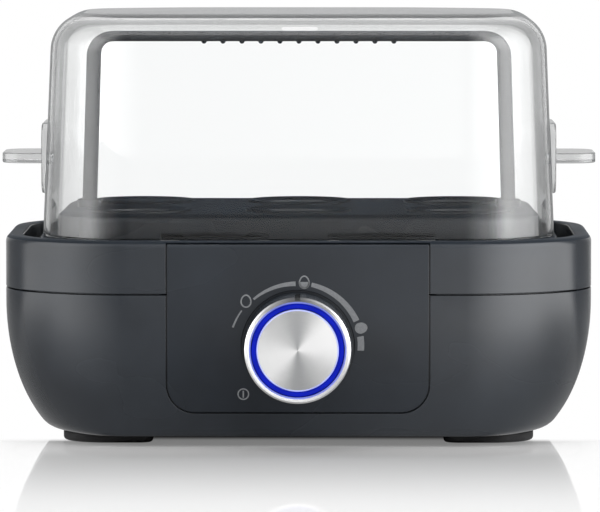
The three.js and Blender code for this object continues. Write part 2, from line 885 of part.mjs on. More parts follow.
function elementClamp(x) {
  const half = heater.clampWidth / 2;
  const reach = runY + heater.tubeRadius + heater.clampThickness;
  const lip = reach - heater.clampThickness + clearance;
  const bar = block(x - half, x + half, -reach, reach, clampBottom, clampTop);
  const hooks = sides.map((side) =>
    block(x - half, x + half, side < 0 ? -reach : lip, side < 0 ? -lip : reach, clampBottom, tubeHeight),
  );
  const hole = uprightRod(pan.studRadius + clearance, x, 0, clampBottom - cut, clampTop + cut);
  return joined([bar, ...hooks]).subtract(hole);
}

function nut(x, y, top) {
  const bottom = top - studNut.height;
  const hexagon = uprightRod(studNut.radius, x, y, bottom, top, 6);
  return hexagon.subtract(uprightRod(pan.studRadius + clearance, x, y, bottom - cut, top + cut));
}

function thermostat() {
  const top = plateBottom - clearance;
  const flange = roundedShape(
    -sensor.flangeLength / 2,
    sensor.flangeLength / 2,
    -sensor.flangeWidth / 2,
    sensor.flangeWidth / 2,
    sensor.flangeWidth / 3,
  );
  const can = uprightRod(sensor.thermostatRadius, 0, 0, top - sensor.thermostatHeight, top, roundSteps / 2);
  return can.add(uprightPrism(flange, top - sensor.flangeThickness, top, 3));
}

function thermalFuse() {
  const y = (sensor.thermostatRadius + runY - heater.tubeRadius) / 2;
  const z = plateBottom - clearance - sensor.fuseRadius;
  return crossRod(sensor.fuseRadius, y, z, -sensor.fuseLength / 2, sensor.fuseLength / 2);
}

// Knob depths, from the panel's face out to the knob's front.
const faceAt = (z) => flareAt(z) * base.endFlareShare - halfDepth;
const knobBack = faceAt(knob.height) - knob.panelGap;
const knobFront = knobBack - knob.length;
const ringOuter = knob.radius - knob.bezelWidth - clearance;
const ringInner = ringOuter - knob.ringWidth;
const coreRadius = ringInner - clearance;
const ledFront = -halfDepth + panel.thickness + control.panelSpace;
const ledBack = ledFront + control.boardThickness;
const bodyFront = ledBack + clearance;
const bodyBack = bodyFront + control.bodyLength;

function knobBezel() {
  const inner = knob.radius - knob.bezelWidth;
  const mouth = knob.radius - knob.bezelTaper;
  const ring = frontLathe(
    [
      [inner, knobBack],
      [knob.radius, knobBack],
      [knob.radius, (knobBack + knobFront) / 2],
      [mouth, knobFront + knob.bezelChamfer],
      [mouth - knob.bezelChamfer, knobFront],
      [inner, knobFront],
      [inner, knobBack],
    ].reverse(),
    0,
    knob.height,
  );
  const notch = block(
    -knob.pointerWidth / 2,
    knob.pointerWidth / 2,
    knobFront - cut,
    knobFront + knob.pointerDepth,
    knob.height + knob.radius - knob.pointerLength,
    knob.height + knob.radius + cut,
  );
  return ring.subtract(notch);
}

function lightRing() {
  const front = knobFront + knob.ringRecess;
  const flangeRadius = ringInner - knob.ringFlange;
  return frontLathe(
    [
      [flangeRadius, knobBack],
      [ringOuter, knobBack],
      [ringOuter, front],
      [ringInner, front],
      [ringInner, knobBack - knob.ringFlange],
      [flangeRadius, knobBack - knob.ringFlange],
      [flangeRadius, knobBack],
    ].reverse(),
    0,
    knob.height,
  );
}

// The core is a cup behind the face, with the hub that grips the shaft.
function knobCore() {
  const webFront = knobFront + knob.faceThickness + clearance;
  const back = knobBack - knob.ringFlange - clearance;
  const cup = frontLathe(
    [
      [0, webFront],
      [coreRadius, webFront],
      [coreRadius, back],
      [coreRadius - knob.coreWall, back],
      [coreRadius - knob.coreWall, webFront + knob.webThickness],
      [knob.hubRadius, webFront + knob.webThickness],
      [knob.hubRadius, knobBack],
      [0, knobBack],
    ],
    0,
    knob.height,
  );
  const boreRadius = knob.shaftRadius + clearance;
  const bore = frontRod(boreRadius, 0, knob.height, webFront + knob.webThickness, knobBack + cut);
  return cup.subtract(bore);
}

function knobFace() {
  const back = knobFront + knob.faceThickness;
  return frontLathe(
    [
      [0, knobFront],
      [coreRadius - knob.faceChamfer, knobFront],
      [coreRadius, knobFront + knob.faceChamfer],
      [coreRadius, back],
      [0, back],
    ],
    0,
    knob.height,
  );
}

function knobShaft() {
  const front = knobFront + knob.faceThickness + knob.webThickness + 2 * clearance;
  const rod = frontRod(knob.shaftRadius, 0, knob.height, front, bodyBack - knob.webThickness);
  const flat = block(
    -knob.shaftRadius,
    knob.shaftRadius,
    front - cut,
    bodyFront - control.bushLength,
    knob.height + knob.shaftRadius - knob.shaftFlat,
    knob.height + knob.shaftRadius + cut,
  );
  return rod.subtract(flat);
}

// The rotary control, with a threaded bush that its nut pulls up against the light board.
function rotaryControl() {
  const bushFront = bodyFront - control.bushLength;
  const can = frontRod(control.bodyRadius, 0, knob.height, bodyFront, bodyBack, roundSteps / 2);
  const bush = frontRod(control.bushRadius, 0, knob.height, bushFront, bodyFront + clearance);
  const bore = frontRod(
    knob.shaftRadius + clearance,
    0,
    knob.height,
    bushFront - cut,
    bodyBack - knob.webThickness + clearance,
  );
  return can.add(bush).subtract(bore);
}

function shaftNut() {
  const back = ledFront - clearance;
  const hexagon = frontRod(control.nutRadius, 0, knob.height, back - control.nutLength, back, 6);
  return hexagon.subtract(frontRod(control.bushRadius + clearance, 0, knob.height, back - cut, back + cut));
}

function lightBoard() {
  const bore = control.bushRadius + clearance;
  let board = frontLathe(
    [
      [bore, ledFront],
      [control.ledBoardRadius, ledFront],
      [control.ledBoardRadius, ledBack],
      [bore, ledBack],
      [bore, ledFront],
    ],
    0,
    knob.height,
  );
  for (let i = 0; i < control.leds; i++) {
    const angle = (i / control.leds) * 2 * Math.PI;
    const reach = control.ledBoardRadius - control.ledSize;
    const x = reach * Math.cos(angle);
    const z = knob.height + reach * Math.sin(angle);
    const half = control.ledSize / 2;
    board = board.add(block(x - half, x + half, ledFront - half, ledFront + half, z - half, z + half));
  }
  return board;
}

const boardBack = boardFront + control.boardThickness;

function controlBoard() {
  const half = control.boardWidth / 2;
  const rise = control.boardHeight / 2;
  let board = block(-half, half, boardFront, boardBack, knob.height - rise, knob.height + rise);
  for (const [x, z] of boardPostPlaces) {
    board = board.subtract(frontRod(smallHole, x, z, boardFront - cut, boardBack + cut));
  }
  return board;
}

const partBack = boardBack + clearance;
const partX = control.boardWidth * control.partSpreadShare;

function buzzer() {
  const back = partBack + control.buzzerLength;
  return frontRod(control.buzzerRadius, -partX, knob.height, partBack, back, roundSteps / 2);
}

function relay() {
  const half = control.relayWidth / 2;
  const rise = control.relayHeight / 2;
  const z = knob.height - rise;
  return block(-half, half, partBack, partBack + control.relayLength, z - rise, z + rise);
}

function capacitor() {
  return frontRod(control.capacitorRadius, partX, knob.height, partBack, partBack + control.capacitorLength);
}

// Mains entry at the rear: a grommet that narrows through the wall, a clamp bar and the terminal block.
const wallOuter = halfDepth - flareAt(mains.glandHeight + mains.flangeRadius) * base.endFlareShare;
const glandBack = wallOuter + mains.flangeLength;

function cordGland() {
  const outline = [
    [mains.boreRadius, wallOuter - housing.wall - mains.innerLength],
    [mains.neckRadius, wallOuter - housing.wall - mains.innerLength],
    [mains.neckRadius, wallOuter + clearance],
    [mains.flangeRadius, wallOuter + 2 * clearance],
    [mains.flangeRadius, glandBack],
    [mains.boreRadius, glandBack],
    [mains.boreRadius, wallOuter - housing.wall - mains.innerLength],
  ];
  return frontLathe(outline, glandX, mains.glandHeight);
}

function cordClamp() {
  const halfLength = mains.clampLength / 2;
  const halfWide = mains.clampWidth / 2;
  let bar = block(
    glandX - halfLength,
    glandX + halfLength,
    clampY - halfWide,
    clampY + halfWide,
    clampSeat,
    clampSeat + mains.clampThickness,
  );
  for (const [x, y] of clampPosts) {
    bar = bar.subtract(uprightRod(smallHole, x, y, clampSeat - cut, clampSeat + cut));
  }
  return bar;
}

function clampScrew([x, y]) {
  const top = clampSeat + mains.clampThickness + clearance;
  const head = uprightRod(smallScrew.headRadius, x, y, top, top + smallScrew.headHeight);
  const shankTop = top + smallScrew.headHeight / 2;
  return head.add(uprightRod(smallScrew.shankRadius, x, y, top - smallScrew.length, shankTop));
}

function terminalBlock() {
  const half = mains.blockLength / 2;
  const wide = mains.blockWidth / 2;
  const bottom = coverTop + cover.postHeight + clearance;
  const top = bottom + mains.blockHeight;
  let body = block(blockX - half, blockX + half, clampY - wide, clampY + wide, bottom, top);
  const ways = 3;
  for (let i = 0; i < ways; i++) {
    const x = blockX + ((i + 1 / 2) / ways - 1 / 2) * mains.blockLength;
    const z = (bottom + top) / 2;
    body = body.subtract(frontRod(smallScrew.headRadius, x, z, clampY - wide - cut, clampY + wide + cut));
  }
  return body;
}

// The tray's holes sit over two rows, each with a raised, chamfered rim that the egg rests on.
const holePlaces = [-1, 0, 1].flatMap((column) =>
  sides.map((row) => [column * holePitch, row * rowPitch]),
);
const legX = bowHalf + bow.splay - bow.legThickness / 2;

function eggTray() {
  const rows = [
    [trayOuter, trayBottom],
    ...fillet(trayOuter, tray.top, tray.shoulder),
    [trayOuter + tray.wall + tray.shoulder, tray.top],
    [trayOuter + tray.wall + tray.shoulder, tray.top - tray.wall],
    [trayOuter + tray.wall, tray.top - tray.wall - tray.shoulder / 2],
    [trayOuter + tray.wall, trayBottom],
  ];
  const skirt = skin(rows.map(([inset, z]) => planRing(inset, inset, z)), true);
  const plateEdge = trayOuter + tray.wall + tray.shoulder - clearance;
  let body = skirt.add(
    skin([planRing(plateEdge, plateEdge, tray.top - tray.wall), planRing(plateEdge, plateEdge, tray.top)]),
  );
  const under = tray.top - tray.wall;
  const rimTop = tray.top + tray.rimHeight;
  const socketTop = tray.top + tray.socketHeight;
  for (const [x, y] of holePlaces) {
    body = body.add(uprightRod(tray.holeRadius + tray.rimWidth, x, y, under, rimTop, roundSteps));
  }
  const socketHalfX = bow.legThickness / 2 + clearance + tray.socketWall;
  const socketHalfY = bow.depth / 2 + clearance + tray.socketWall;
  for (const side of sides) {
    const x = side * legX;
    body = body.add(block(x - socketHalfX, x + socketHalfX, -socketHalfY, socketHalfY, under, socketTop));
  }
  for (const side of sides) {
    const x = side * legX;
    const halfX = socketHalfX - tray.socketWall;
    const halfY = socketHalfY - tray.socketWall;
    body = body.subtract(block(x - halfX, x + halfX, -halfY, halfY, tray.top, socketTop + cut));
  }
  for (const [x, y] of holePlaces) {
    const hole = new THREE.LatheGeometry(
      [
        [0, under - cut],
        [tray.holeRadius - tray.holeChamfer, under - cut],
        [tray.holeRadius - tray.holeChamfer, rimTop - tray.holeChamfer],
        [tray.holeRadius, rimTop],
        [tray.holeRadius, rimTop + cut],
        [0, rimTop + cut],
      ].map(([radius, z]) => new THREE.Vector2(radius, z)),
      roundSteps,
    ).rotateX(Math.PI / 2);
    body = body.subtract(solid(hole.translate(x, y, 0)));
  }
  return body.subtract(footGaps());
}

// The skirt is cut away between the feet at its corners and at the middle of each side.
function footGaps() {
  const sideX = halfWidth - trayOuter;
  const sideY = halfDepth - trayOuter;
  const cornerX = halfWidth - base.cornerRadius;
  const cornerY = halfDepth - base.cornerRadius;
  const half = tray.footLength / 2;
  const low = trayBottom - cut;
  const right = block(half, cornerX - half, -sideY - cut, sideY + cut, low, tray.skirtBottom);
  const ends = block(-sideX - cut, sideX + cut, half - cornerY, cornerY - half, low, tray.skirtBottom);
  return joined([right, right.mirror([1, 0, 0]), ends]);
}

function carryBow() {
  const topHalf = bowHalf;
  const footHalf = topHalf + bow.splay;
  const bottom = tray.top + clearance;
  const outerR = bow.cornerRadius;
  const innerR = bow.cornerRadius - bow.legThickness;
  const innerTop = bow.top - bow.barThickness;
  const innerHalf = topHalf - bow.legThickness;
  const innerFoot = footHalf - bow.legThickness;
  const quarter = Math.PI / 2;
  const shape = new THREE.Shape();
  shape.moveTo(footHalf, bottom);
  shape.lineTo(topHalf, bow.top - outerR);
  shape.absarc(topHalf - outerR, bow.top - outerR, outerR, 0, quarter);
  shape.absarc(outerR - topHalf, bow.top - outerR, outerR, quarter, 2 * quarter);
  shape.lineTo(-footHalf, bottom);
  shape.lineTo(-innerFoot, bottom);
  shape.absarc(innerR - innerHalf, innerTop - innerR, innerR, 2 * quarter, quarter, true);
  shape.absarc(innerHalf - innerR, innerTop - innerR, innerR, quarter, 0, true);
  shape.lineTo(innerFoot, bottom);
  shape.closePath();
  let body = frontPrism(shape, -bow.depth / 2, bow.depth / 2, bow.edge);
  const ribHalf = (bow.depth / 2) * bow.ribDepthShare;
  for (let i = 0; i < bow.ribs; i++) {
    const x = (i - (bow.ribs - 1) / 2) * bow.ribPitch;
    body = body.add(frontRod(bow.ribRadius, x, innerTop, -ribHalf, ribHalf, smallSteps / 2));
  }
  return body;
}

// The lid's outer or inner surface as rings from its mouth to the edge of its crown.
function lidRings(inset, bottom, top) {
  const shoulder = top - (lid.topRadius - inset);
  const radius = lid.topRadius - inset;
  const rings = [planRing(lidOuter + inset, lidOuter + inset, bottom)];
  const steps = 2 * filletSteps;
  for (let step = 0; step <= steps; step++) {
    const angle = ((step / steps) * Math.PI) / 2;
    const drawn = lidOuter + inset + lid.draft + radius * (1 - Math.cos(angle));
    rings.push(planRing(drawn, drawn, shoulder + radius * Math.sin(angle)));
  }
  const edge = rings[rings.length - 1];
  const crownShares = [0.55];
  for (const share of crownShares) {
    rings.push(edge.map(([x, y, z]) => [x * share, y * share, z + lid.crown * (1 - share * share)]));
  }
  return rings;
}

function lidShell() {
  const outer = skin(lidRings(0, lidBottom, lid.top));
  const inner = skin(lidRings(lid.wall, lidBottom - cut, lid.top - lid.wall));
  const ventZ = lid.top - lid.ventDrop;
  const vent = roundedShape(
    -lid.ventWidth / 2,
    lid.ventWidth / 2,
    ventZ - lid.ventHeight / 2,
    ventZ + lid.ventHeight / 2,
    lid.ventHeight / 2 - weldGap * 2,
  );
  return outer.subtract(inner).subtract(frontPrism(vent, halfDepth / 2, halfDepth + cut));
}

// A grip's back plate follows the lid's slope, and its tab is rounded at the outer corners.
function lidGrip(side) {
  const lidHalf = halfWidth - lidOuter;
  const halfY = grip.plateWidth / 2;
  const rise = grip.plateHeight / 2;
  const plateShape = roundedShape(-halfY, halfY, grip.centre - rise, grip.centre + rise, grip.plateRadius);
  const plateOuter = lidHalf - clearance + grip.plateThickness;
  const plate = new THREE.ExtrudeGeometry(plateShape, {
    depth: plateOuter - lidHalf + lid.draft + grip.plateThickness,
    curveSegments: cornerSteps / 2,
    bevelEnabled: false,
  });
  plate.rotateX(Math.PI / 2).rotateZ(Math.PI / 2).translate(lidHalf - lid.draft - grip.plateThickness, 0, 0);
  const tabHalf = grip.tabWidth / 2;
  const tabShape = new THREE.Shape();
  tabShape.moveTo(lidHalf - lid.draft, -tabHalf);
  const arcX = lidHalf + grip.reach - grip.tabRadius;
  tabShape.lineTo(arcX, -tabHalf);
  const arcY = tabHalf - grip.tabRadius;
  tabShape.absarc(arcX, -arcY, grip.tabRadius, 1.5 * Math.PI, 2 * Math.PI);
  tabShape.absarc(arcX, arcY, grip.tabRadius, 0, Math.PI / 2);
  tabShape.lineTo(lidHalf - lid.draft, tabHalf);
  tabShape.closePath();
  const tabBottom = grip.centre - grip.tabThickness / 2;
  const tab = uprightPrism(tabShape, tabBottom, tabBottom + grip.tabThickness);
  const behind = skin(lidRings(-clearance, lidBottom, lid.top));
  const piece = solid(plate).add(tab).subtract(behind);
  return side > 0 ? piece : piece.mirror([1, 0, 0]);
}

// The assembly, one named mesh for each piece, grouped as the pieces move.
function mesh(name, body, finish) {
  const made = new THREE.Mesh(geometryOf(body), new THREE.MeshStandardMaterial(finishes[finish]));
  made.name = name;
  return made;
}

function group(...members) {
  const made = new THREE.Group();
  made.add(...members);
  return made;
}

const baseGroup = group(
  mesh("lower_housing", lowerHousing(), "darkPlastic"),
  mesh("rim_collar", rimCollar(), "darkPlastic"),
  mesh("front_panel", frontPanel(), "panelPlastic"),
  mesh("bottom_cover", bottomCover(), "blackPlastic"),
  ...feet.map((place) => mesh(place.name, footPad(place), "rubber")),
  ...coverScrewPlaces.map(([x, y], i) =>
    mesh(`cover_screw_${i + 1}`, screw(coverScrew, x, y, base.footGap), "steel"),
  ),
  mesh("boiling_pan", boilingPan(), "steel"),
  mesh("pan_gasket", panGasket(), "silicone"),
  mesh("pan_retainer", panRetainer(), "steel"),
  ...collarScrewPlaces.map(([x, y], i) =>
    mesh(
      `retainer_screw_${i + 1}`,
      screw(smallScrew, x, y, retainerBottom - clearance - smallScrew.headHeight),
      "steel",
    ),
  ),
  mesh("heating_element", heatingElement(), "steel"),
  mesh("spreader_plate", spreaderPlate(), "aluminium"),
  ...studPlaces.map(([x], i) => mesh(`element_clamp_${i + 1}`, elementClamp(x), "steel")),
  ...studPlaces.map(([x, y], i) => mesh(`stud_nut_${i + 1}`, nut(x, y, clampBottom - clearance), "steel")),
  mesh("thermostat", thermostat(), "component"),
  mesh("thermal_fuse", thermalFuse(), "ceramic"),
  mesh("rotary_control", rotaryControl(), "component"),
  mesh("shaft_nut", shaftNut(), "steel"),
  mesh("light_board", lightBoard(), "board"),
  mesh("control_board", controlBoard(), "board"),
  ...boardPostPlaces.map(([x, z], i) =>
    mesh(`board_screw_${i + 1}`, backScrew(smallScrew, x, z, boardBack + clearance), "steel"),
  ),
  mesh("buzzer", buzzer(), "component"),
  mesh("relay", relay(), "component"),
  mesh("capacitor", capacitor(), "component"),
  mesh("cord_gland", cordGland(), "rubber"),
  mesh("cord_clamp", cordClamp(), "blackPlastic"),
  ...clampPosts.map((place, i) => mesh(`clamp_screw_${i + 1}`, clampScrew(place), "steel")),
  mesh("terminal_block", terminalBlock(), "ceramic"),
);

const knobGroup = group(
  mesh("knob_bezel", knobBezel(), "aluminium"),
  mesh("light_ring", lightRing(), "blueLight"),
  mesh("knob_core", knobCore(), "blackPlastic"),
  mesh("knob_face", knobFace(), "aluminium"),
  mesh("knob_shaft", knobShaft(), "steel"),
);

const lidGroup = group(
  mesh("lid_shell", lidShell(), "clear"),
  mesh("lid_handle_right", lidGrip(1), "clear"),
  mesh("lid_handle_left", lidGrip(-1), "clear"),
);

const trayGroup = group(
  mesh("egg_tray", eggTray(), "darkPlastic"),
  mesh("carry_handle", carryBow(), "darkPlastic"),
  lidGroup,
);

// The footprint is centred, knob and gland included.
const eggCooker = group(baseGroup, knobGroup, trayGroup);
eggCooker.position.y = -(knobFront + Math.max(glandBack, halfDepth)) / 2;

export default eggCooker;
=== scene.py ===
"""An electric egg cooker with six places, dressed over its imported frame.

Lengths in the classes are millimetres in the frame's axes: +X right, +Y back, +Z up. Meshes are in metres.
"""

import json
import logging
import math
from collections.abc import Callable, Sequence
from dataclasses import dataclass, field
from enum import Enum

import bmesh
import bpy
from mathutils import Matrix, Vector


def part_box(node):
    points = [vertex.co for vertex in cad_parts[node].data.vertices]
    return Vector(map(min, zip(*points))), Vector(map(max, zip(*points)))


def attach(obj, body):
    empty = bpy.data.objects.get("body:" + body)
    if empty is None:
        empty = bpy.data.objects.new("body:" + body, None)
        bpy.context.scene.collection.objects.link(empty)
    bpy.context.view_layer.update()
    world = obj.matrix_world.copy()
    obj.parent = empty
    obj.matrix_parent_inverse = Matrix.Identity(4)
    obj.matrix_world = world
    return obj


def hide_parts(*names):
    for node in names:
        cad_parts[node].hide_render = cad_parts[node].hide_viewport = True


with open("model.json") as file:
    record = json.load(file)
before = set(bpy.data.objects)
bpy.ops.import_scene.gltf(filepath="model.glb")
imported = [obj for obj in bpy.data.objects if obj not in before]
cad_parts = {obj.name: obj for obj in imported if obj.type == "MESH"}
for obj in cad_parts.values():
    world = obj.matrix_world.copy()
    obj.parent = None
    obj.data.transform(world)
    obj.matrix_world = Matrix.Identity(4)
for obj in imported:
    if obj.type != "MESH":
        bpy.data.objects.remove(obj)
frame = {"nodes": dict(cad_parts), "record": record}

LOG = logging.getLogger("egg_cooker")
MM = 0.001
KNOB_HEIGHT = 34.4
OVERCUT = 4.0
CORNER_STEPS = 18
ARC_STEPS = 5
WHITE = (1.0, 1.0, 1.0)

Piece = bpy.types.Object
Colour = tuple[float, float, float]
Point = tuple[float, float, float]
Corner = tuple[float, float, float]
Flat = tuple[float, float]
Ring = list[Point]
Inputs = dict[str | int, object]


# Shader and geometry trees


class Term:
    """One output socket, on which Python arithmetic adds Math nodes."""

    def __init__(self, tree: "Tree", socket: bpy.types.NodeSocket) -> None:
        """Wraps a socket of a tree."""
        self.tree = tree
        self.socket = socket

    def call(self, operation: str, *others: "Term | float") -> "Term":
        """A Math node by its operation, with this value first."""
        return self.tree.math(operation, self, *others)

    def __add__(self, other: "Term | float") -> "Term":
        """Sum."""
        return self.call("ADD", other)

    def __sub__(self, other: "Term | float") -> "Term":
        """Difference."""
        return self.call("SUBTRACT", other)

    def __rsub__(self, other: float) -> "Term":
        """Difference with a number in front."""
        return self.tree.math("SUBTRACT", other, self)

    def __mul__(self, other: "Term | float") -> "Term":
        """Product."""
        return self.call("MULTIPLY", other)

    def __abs__(self) -> "Term":
        """Size without its sign."""
        return self.call("ABSOLUTE")

    __radd__ = __add__
    __rmul__ = __mul__

    def peak(self, other: "Term | float") -> "Term":
        """The larger of two values."""
        return self.call("MAXIMUM", other)

    def hypot(self, other: "Term") -> "Term":
        """The length of two values at a right angle."""
        return (self * self + other * other).call("SQRT")

    def ramp(self, low: float, high: float, start: float = 0.0, end: float = 1.0) -> "Term":
        """Smoothly maps low..high to start..end, held at both ends.

        Args:
            low: Value at which the result is start.
            high: Value at which the result is end.
            start: Result at low.
            end: Result at high.
        Returns:
            The mapped value.
        """
        inputs = {"Value": self, "From Min": low, "From Max": high, "To Min": start, "To Max": end}
        return self.tree.node("ShaderNodeMapRange", inputs, interpolation_type="SMOOTHSTEP")

    def over(self, reach: Flat, start: float = 0.0, end: float = 1.0) -> "Term":
        """The same for a length, over a reach in millimetres."""
        return self.ramp(reach[0] * MM, reach[1] * MM, start, end)


class Tree:
    """A node tree whose nodes are all made by one method."""

    def __init__(self, tree: bpy.types.NodeTree) -> None:
        """Starts from an empty tree."""
        self.tree = tree
        tree.nodes.clear()

    def node(
        self, kind: str, inputs: Inputs | None = None, output: str | int = 0, **settings: object
    ) -> Term:
        """Adds a node.

        Args:
            kind: The node's type.
            inputs: Values or links by socket name or index.
            output: The output that the result wraps.
            settings: The node's properties, which are set first.
        Returns:
            The chosen output as a Term.
        """
        made = self.tree.nodes.new(kind)
        for name, value in settings.items():
            setattr(made, name, value)
        for key, value in (inputs or {}).items():
            self.feed(made.inputs[key], value)
        return Term(self, made.outputs[output] if made.outputs else None)

    def feed(self, socket: bpy.types.NodeSocket, value: object) -> None:
        """Links a Term to a socket, or sets the socket's own value.

        Args:
            socket: The input to feed.
            value: A Term, a number, a colour, a vector, a flag or a material.
        """
        if isinstance(value, Term):
            self.tree.links.new(value.socket, socket)
        elif socket.type == "RGBA":
            socket.default_value = (*value[:3], 1.0)
        else:
            socket.default_value = value

    def outputs(self, kind: str, inputs: Inputs | None = None) -> dict[str, Term]:
        """All the outputs of a new node, by name."""
        return {socket.name: Term(self, socket) for socket in self.node(kind, inputs).socket.node.outputs}

    def math(self, operation: str, *values: Term | float) -> Term:
        """A Math node over values."""
        return self.node("ShaderNodeMath", dict(enumerate(values)), operation=operation)

    def mix(self, factor: Term | float, first: object, second: object) -> Term:
        """Mixes two colours."""
        return self.node("ShaderNodeMix", {0: factor, 6: first, 7: second}, 2, data_type="RGBA")

    def mix_shaders(self, factor: Term, first: Term, second: Term) -> Term:
        """Mixes two shaders."""
        return self.node("ShaderNodeMixShader", {0: factor, 1: first, 2: second})

    def principled(self, inputs: dict[str, object]) -> Term:
        """A Principled shader with some of its sockets fed."""
        return self.node("ShaderNodeBsdfPrincipled", inputs)

    def glow(self, strength: Term | float) -> Term:
        """White light of a strength."""
        return self.node("ShaderNodeEmission", {"Color": WHITE, "Strength": strength})

    def place(self) -> Term:
        """Object coordinates."""
        return self.node("ShaderNodeTexCoord", output="Object")

    def axes(self, vector: Term | None = None) -> tuple[Term, Term, Term]:
        """A vector's three values, or those of the object coordinates."""
        parts = self.outputs("ShaderNodeSeparateXYZ", {0: vector or self.place()})
        return parts["X"], parts["Y"], parts["Z"]

    def stretched(self, scale: Point) -> Term:
        """Object coordinates with each axis scaled."""
        return self.node("ShaderNodeMapping", {"Vector": self.place(), "Scale": scale})

    def noise(self, scale: float, detail: float = 2.0, vector: Term | None = None) -> Term:
        """Fractal noise with features of about 1 / scale metres."""
        where = vector or self.place()
        return self.node("ShaderNodeTexNoise", {"Vector": where, "Scale": scale, "Detail": detail})

    def bump(self, height: Term, strength: float, relief: float) -> Term:
        """A normal bent by a height whose full relief is given in millimetres."""
        return self.node("ShaderNodeBump", {"Height": height, "Strength": strength, "Distance": relief * MM})


class GeometryTree(Tree):
    """A Geometry Nodes tree with named inputs, and what runs it."""

    SOCKETS = {float: "NodeSocketFloat", int: "NodeSocketInt"}

    def __init__(self, name: str, lengths: dict[str, float], count: int = 0) -> None:
        """Makes the tree and one named input for each size.

        Args:
            name: The tree's name.
            lengths: The lengths by name, in millimetres.
            count: The value of the input Count, which is made when it isn't zero.
        """
        super().__init__(bpy.data.node_groups.new(name, "GeometryNodeTree"))
        self.sizes = {"Count": count} if count else {}
        self.sizes |= {key: length * MM for key, length in lengths.items()}
        face = self.tree.interface
        for way in ("INPUT", "OUTPUT"):
            face.new_socket("Geometry", in_out=way, socket_type="NodeSocketGeometry")
        self.identifiers = {
            key: face.new_socket(key, in_out="INPUT", socket_type=self.SOCKETS[type(value)]).identifier
            for key, value in self.sizes.items()
        }
        self.entries = self.outputs("NodeGroupInput")

    def size(self, key: str) -> Term:
        """One of the named inputs, or the given mesh by the name Geometry."""
        return self.entries[key]

    def row(self, start: Point) -> Term:
        """Points along X by the sizes Count and Pitch.

        Args:
            start: The first point, in millimetres.
        Returns:
            The points.
        """
        offset = self.node("ShaderNodeCombineXYZ", {0: self.size("Pitch")})
        first = tuple(value * MM for value in start)
        inputs = {"Count": self.size("Count"), "Start Location": first, "Offset": offset}
        return self.node("GeometryNodeMeshLine", inputs, mode="OFFSET")

    def rod(self, radius: str, length: str) -> Term:
        """An upright rod by the names of two sizes."""
        inputs = {"Vertices": 20, "Radius": self.size(radius), "Depth": self.size(length)}
        return self.node("GeometryNodeMeshCylinder", inputs)

    def join(self, *parts: Term) -> Term:
        """Puts geometries together.

        Args:
            parts: The geometries.
        Returns:
            The joined geometry.
        """
        made = self.node("GeometryNodeJoinGeometry")
        for part in parts:
            self.feed(made.socket.node.inputs[0], part)
        return made

    def run(
        self, name: str, points: Term, shape: Term, finish: "Finish", carrier: Sequence[Point] = ((0, 0, 0),)
    ) -> Piece:
        """Repeats a shape on points and keeps the result as a plain mesh.

        Args:
            name: The new piece's name.
            points: Where the shape is repeated.
            shape: What is repeated.
            finish: The finish of the result.
            carrier: Points in millimetres that the tree is given as a mesh.
        Returns:
            The new piece, with no modifier.
        """
        copies = self.node("GeometryNodeInstanceOnPoints", {"Points": points, "Instance": shape})
        real = self.node("GeometryNodeRealizeInstances", {0: copies})
        dressed = self.node("GeometryNodeSetMaterial", {"Geometry": real, "Material": finish.material()})
        self.node("NodeGroupOutput", {0: dressed})
        piece = piece_of(name, carrier, [])
        modifier = piece.modifiers.new("repeat", "NODES")
        modifier.node_group = self.tree
        for key, value in self.sizes.items():
            modifier[self.identifiers[key]] = value
        return settle(piece)


# Finishes


def toned(colour: Colour, share: float, lift: float = 0.0) -> Colour:
    """A colour made lighter or darker."""
    return tuple(min(channel * share + lift, 1.0) for channel in colour)


@dataclass(frozen=True)
class Finish:
    """What every finish shares: its name and the making of its material."""

    name: str

    def material(self) -> bpy.types.Material:
        """Makes the finish's material, or finds it when it is already made.

        Returns:
            The material.
        """
        own_name = "finish_" + self.name
        made = bpy.data.materials.get(own_name)
        if made is None:
            made = bpy.data.materials.new(own_name)
            made.use_nodes = True
            tree = Tree(made.node_tree)
            tree.node("ShaderNodeOutputMaterial", {"Surface": self.surface(tree)})
        return made

    def surface(self, tree: Tree) -> Term:
        """The shader that the material shows."""
        raise NotImplementedError


@dataclass(frozen=True)
class MouldedPlastic(Finish):
    """Spark-eroded moulded plastic: a fine grain, faint clouding and slight polish from handling."""

    colour: Colour
    roughness: float
    grain: float
    grain_size: float = 0.35
    gloss: float = 0.4
    cloud_scale: float = 38.0
    rub_scale: float = 14.0
    rub_stretch: Point = (1.0, 1.0, 2.2)

    def surface(self, tree: Tree) -> Term:
        """Grain as bump, clouds in colour and roughness.

        Args:
            tree: The tree to add nodes to.
        Returns:
            The shader.
        """
        clouds = tree.noise(self.cloud_scale, 3.0)
        rubbed = tree.noise(self.rub_scale, 2.0, tree.stretched(self.rub_stretch))
        return tree.principled({
            "Base Color": tree.mix(clouds.ramp(0.3, 0.7), toned(self.colour, 0.9), toned(self.colour, 1.16)),
            "Roughness": rubbed.ramp(0.35, 0.7, -0.05, 0.06) + clouds * 0.04 + (self.roughness - 0.02),
            "Specular IOR Level": self.gloss,
            "Normal": tree.bump(tree.noise(1 / (self.grain_size * MM), 3.0), self.grain, 0.04),
        })


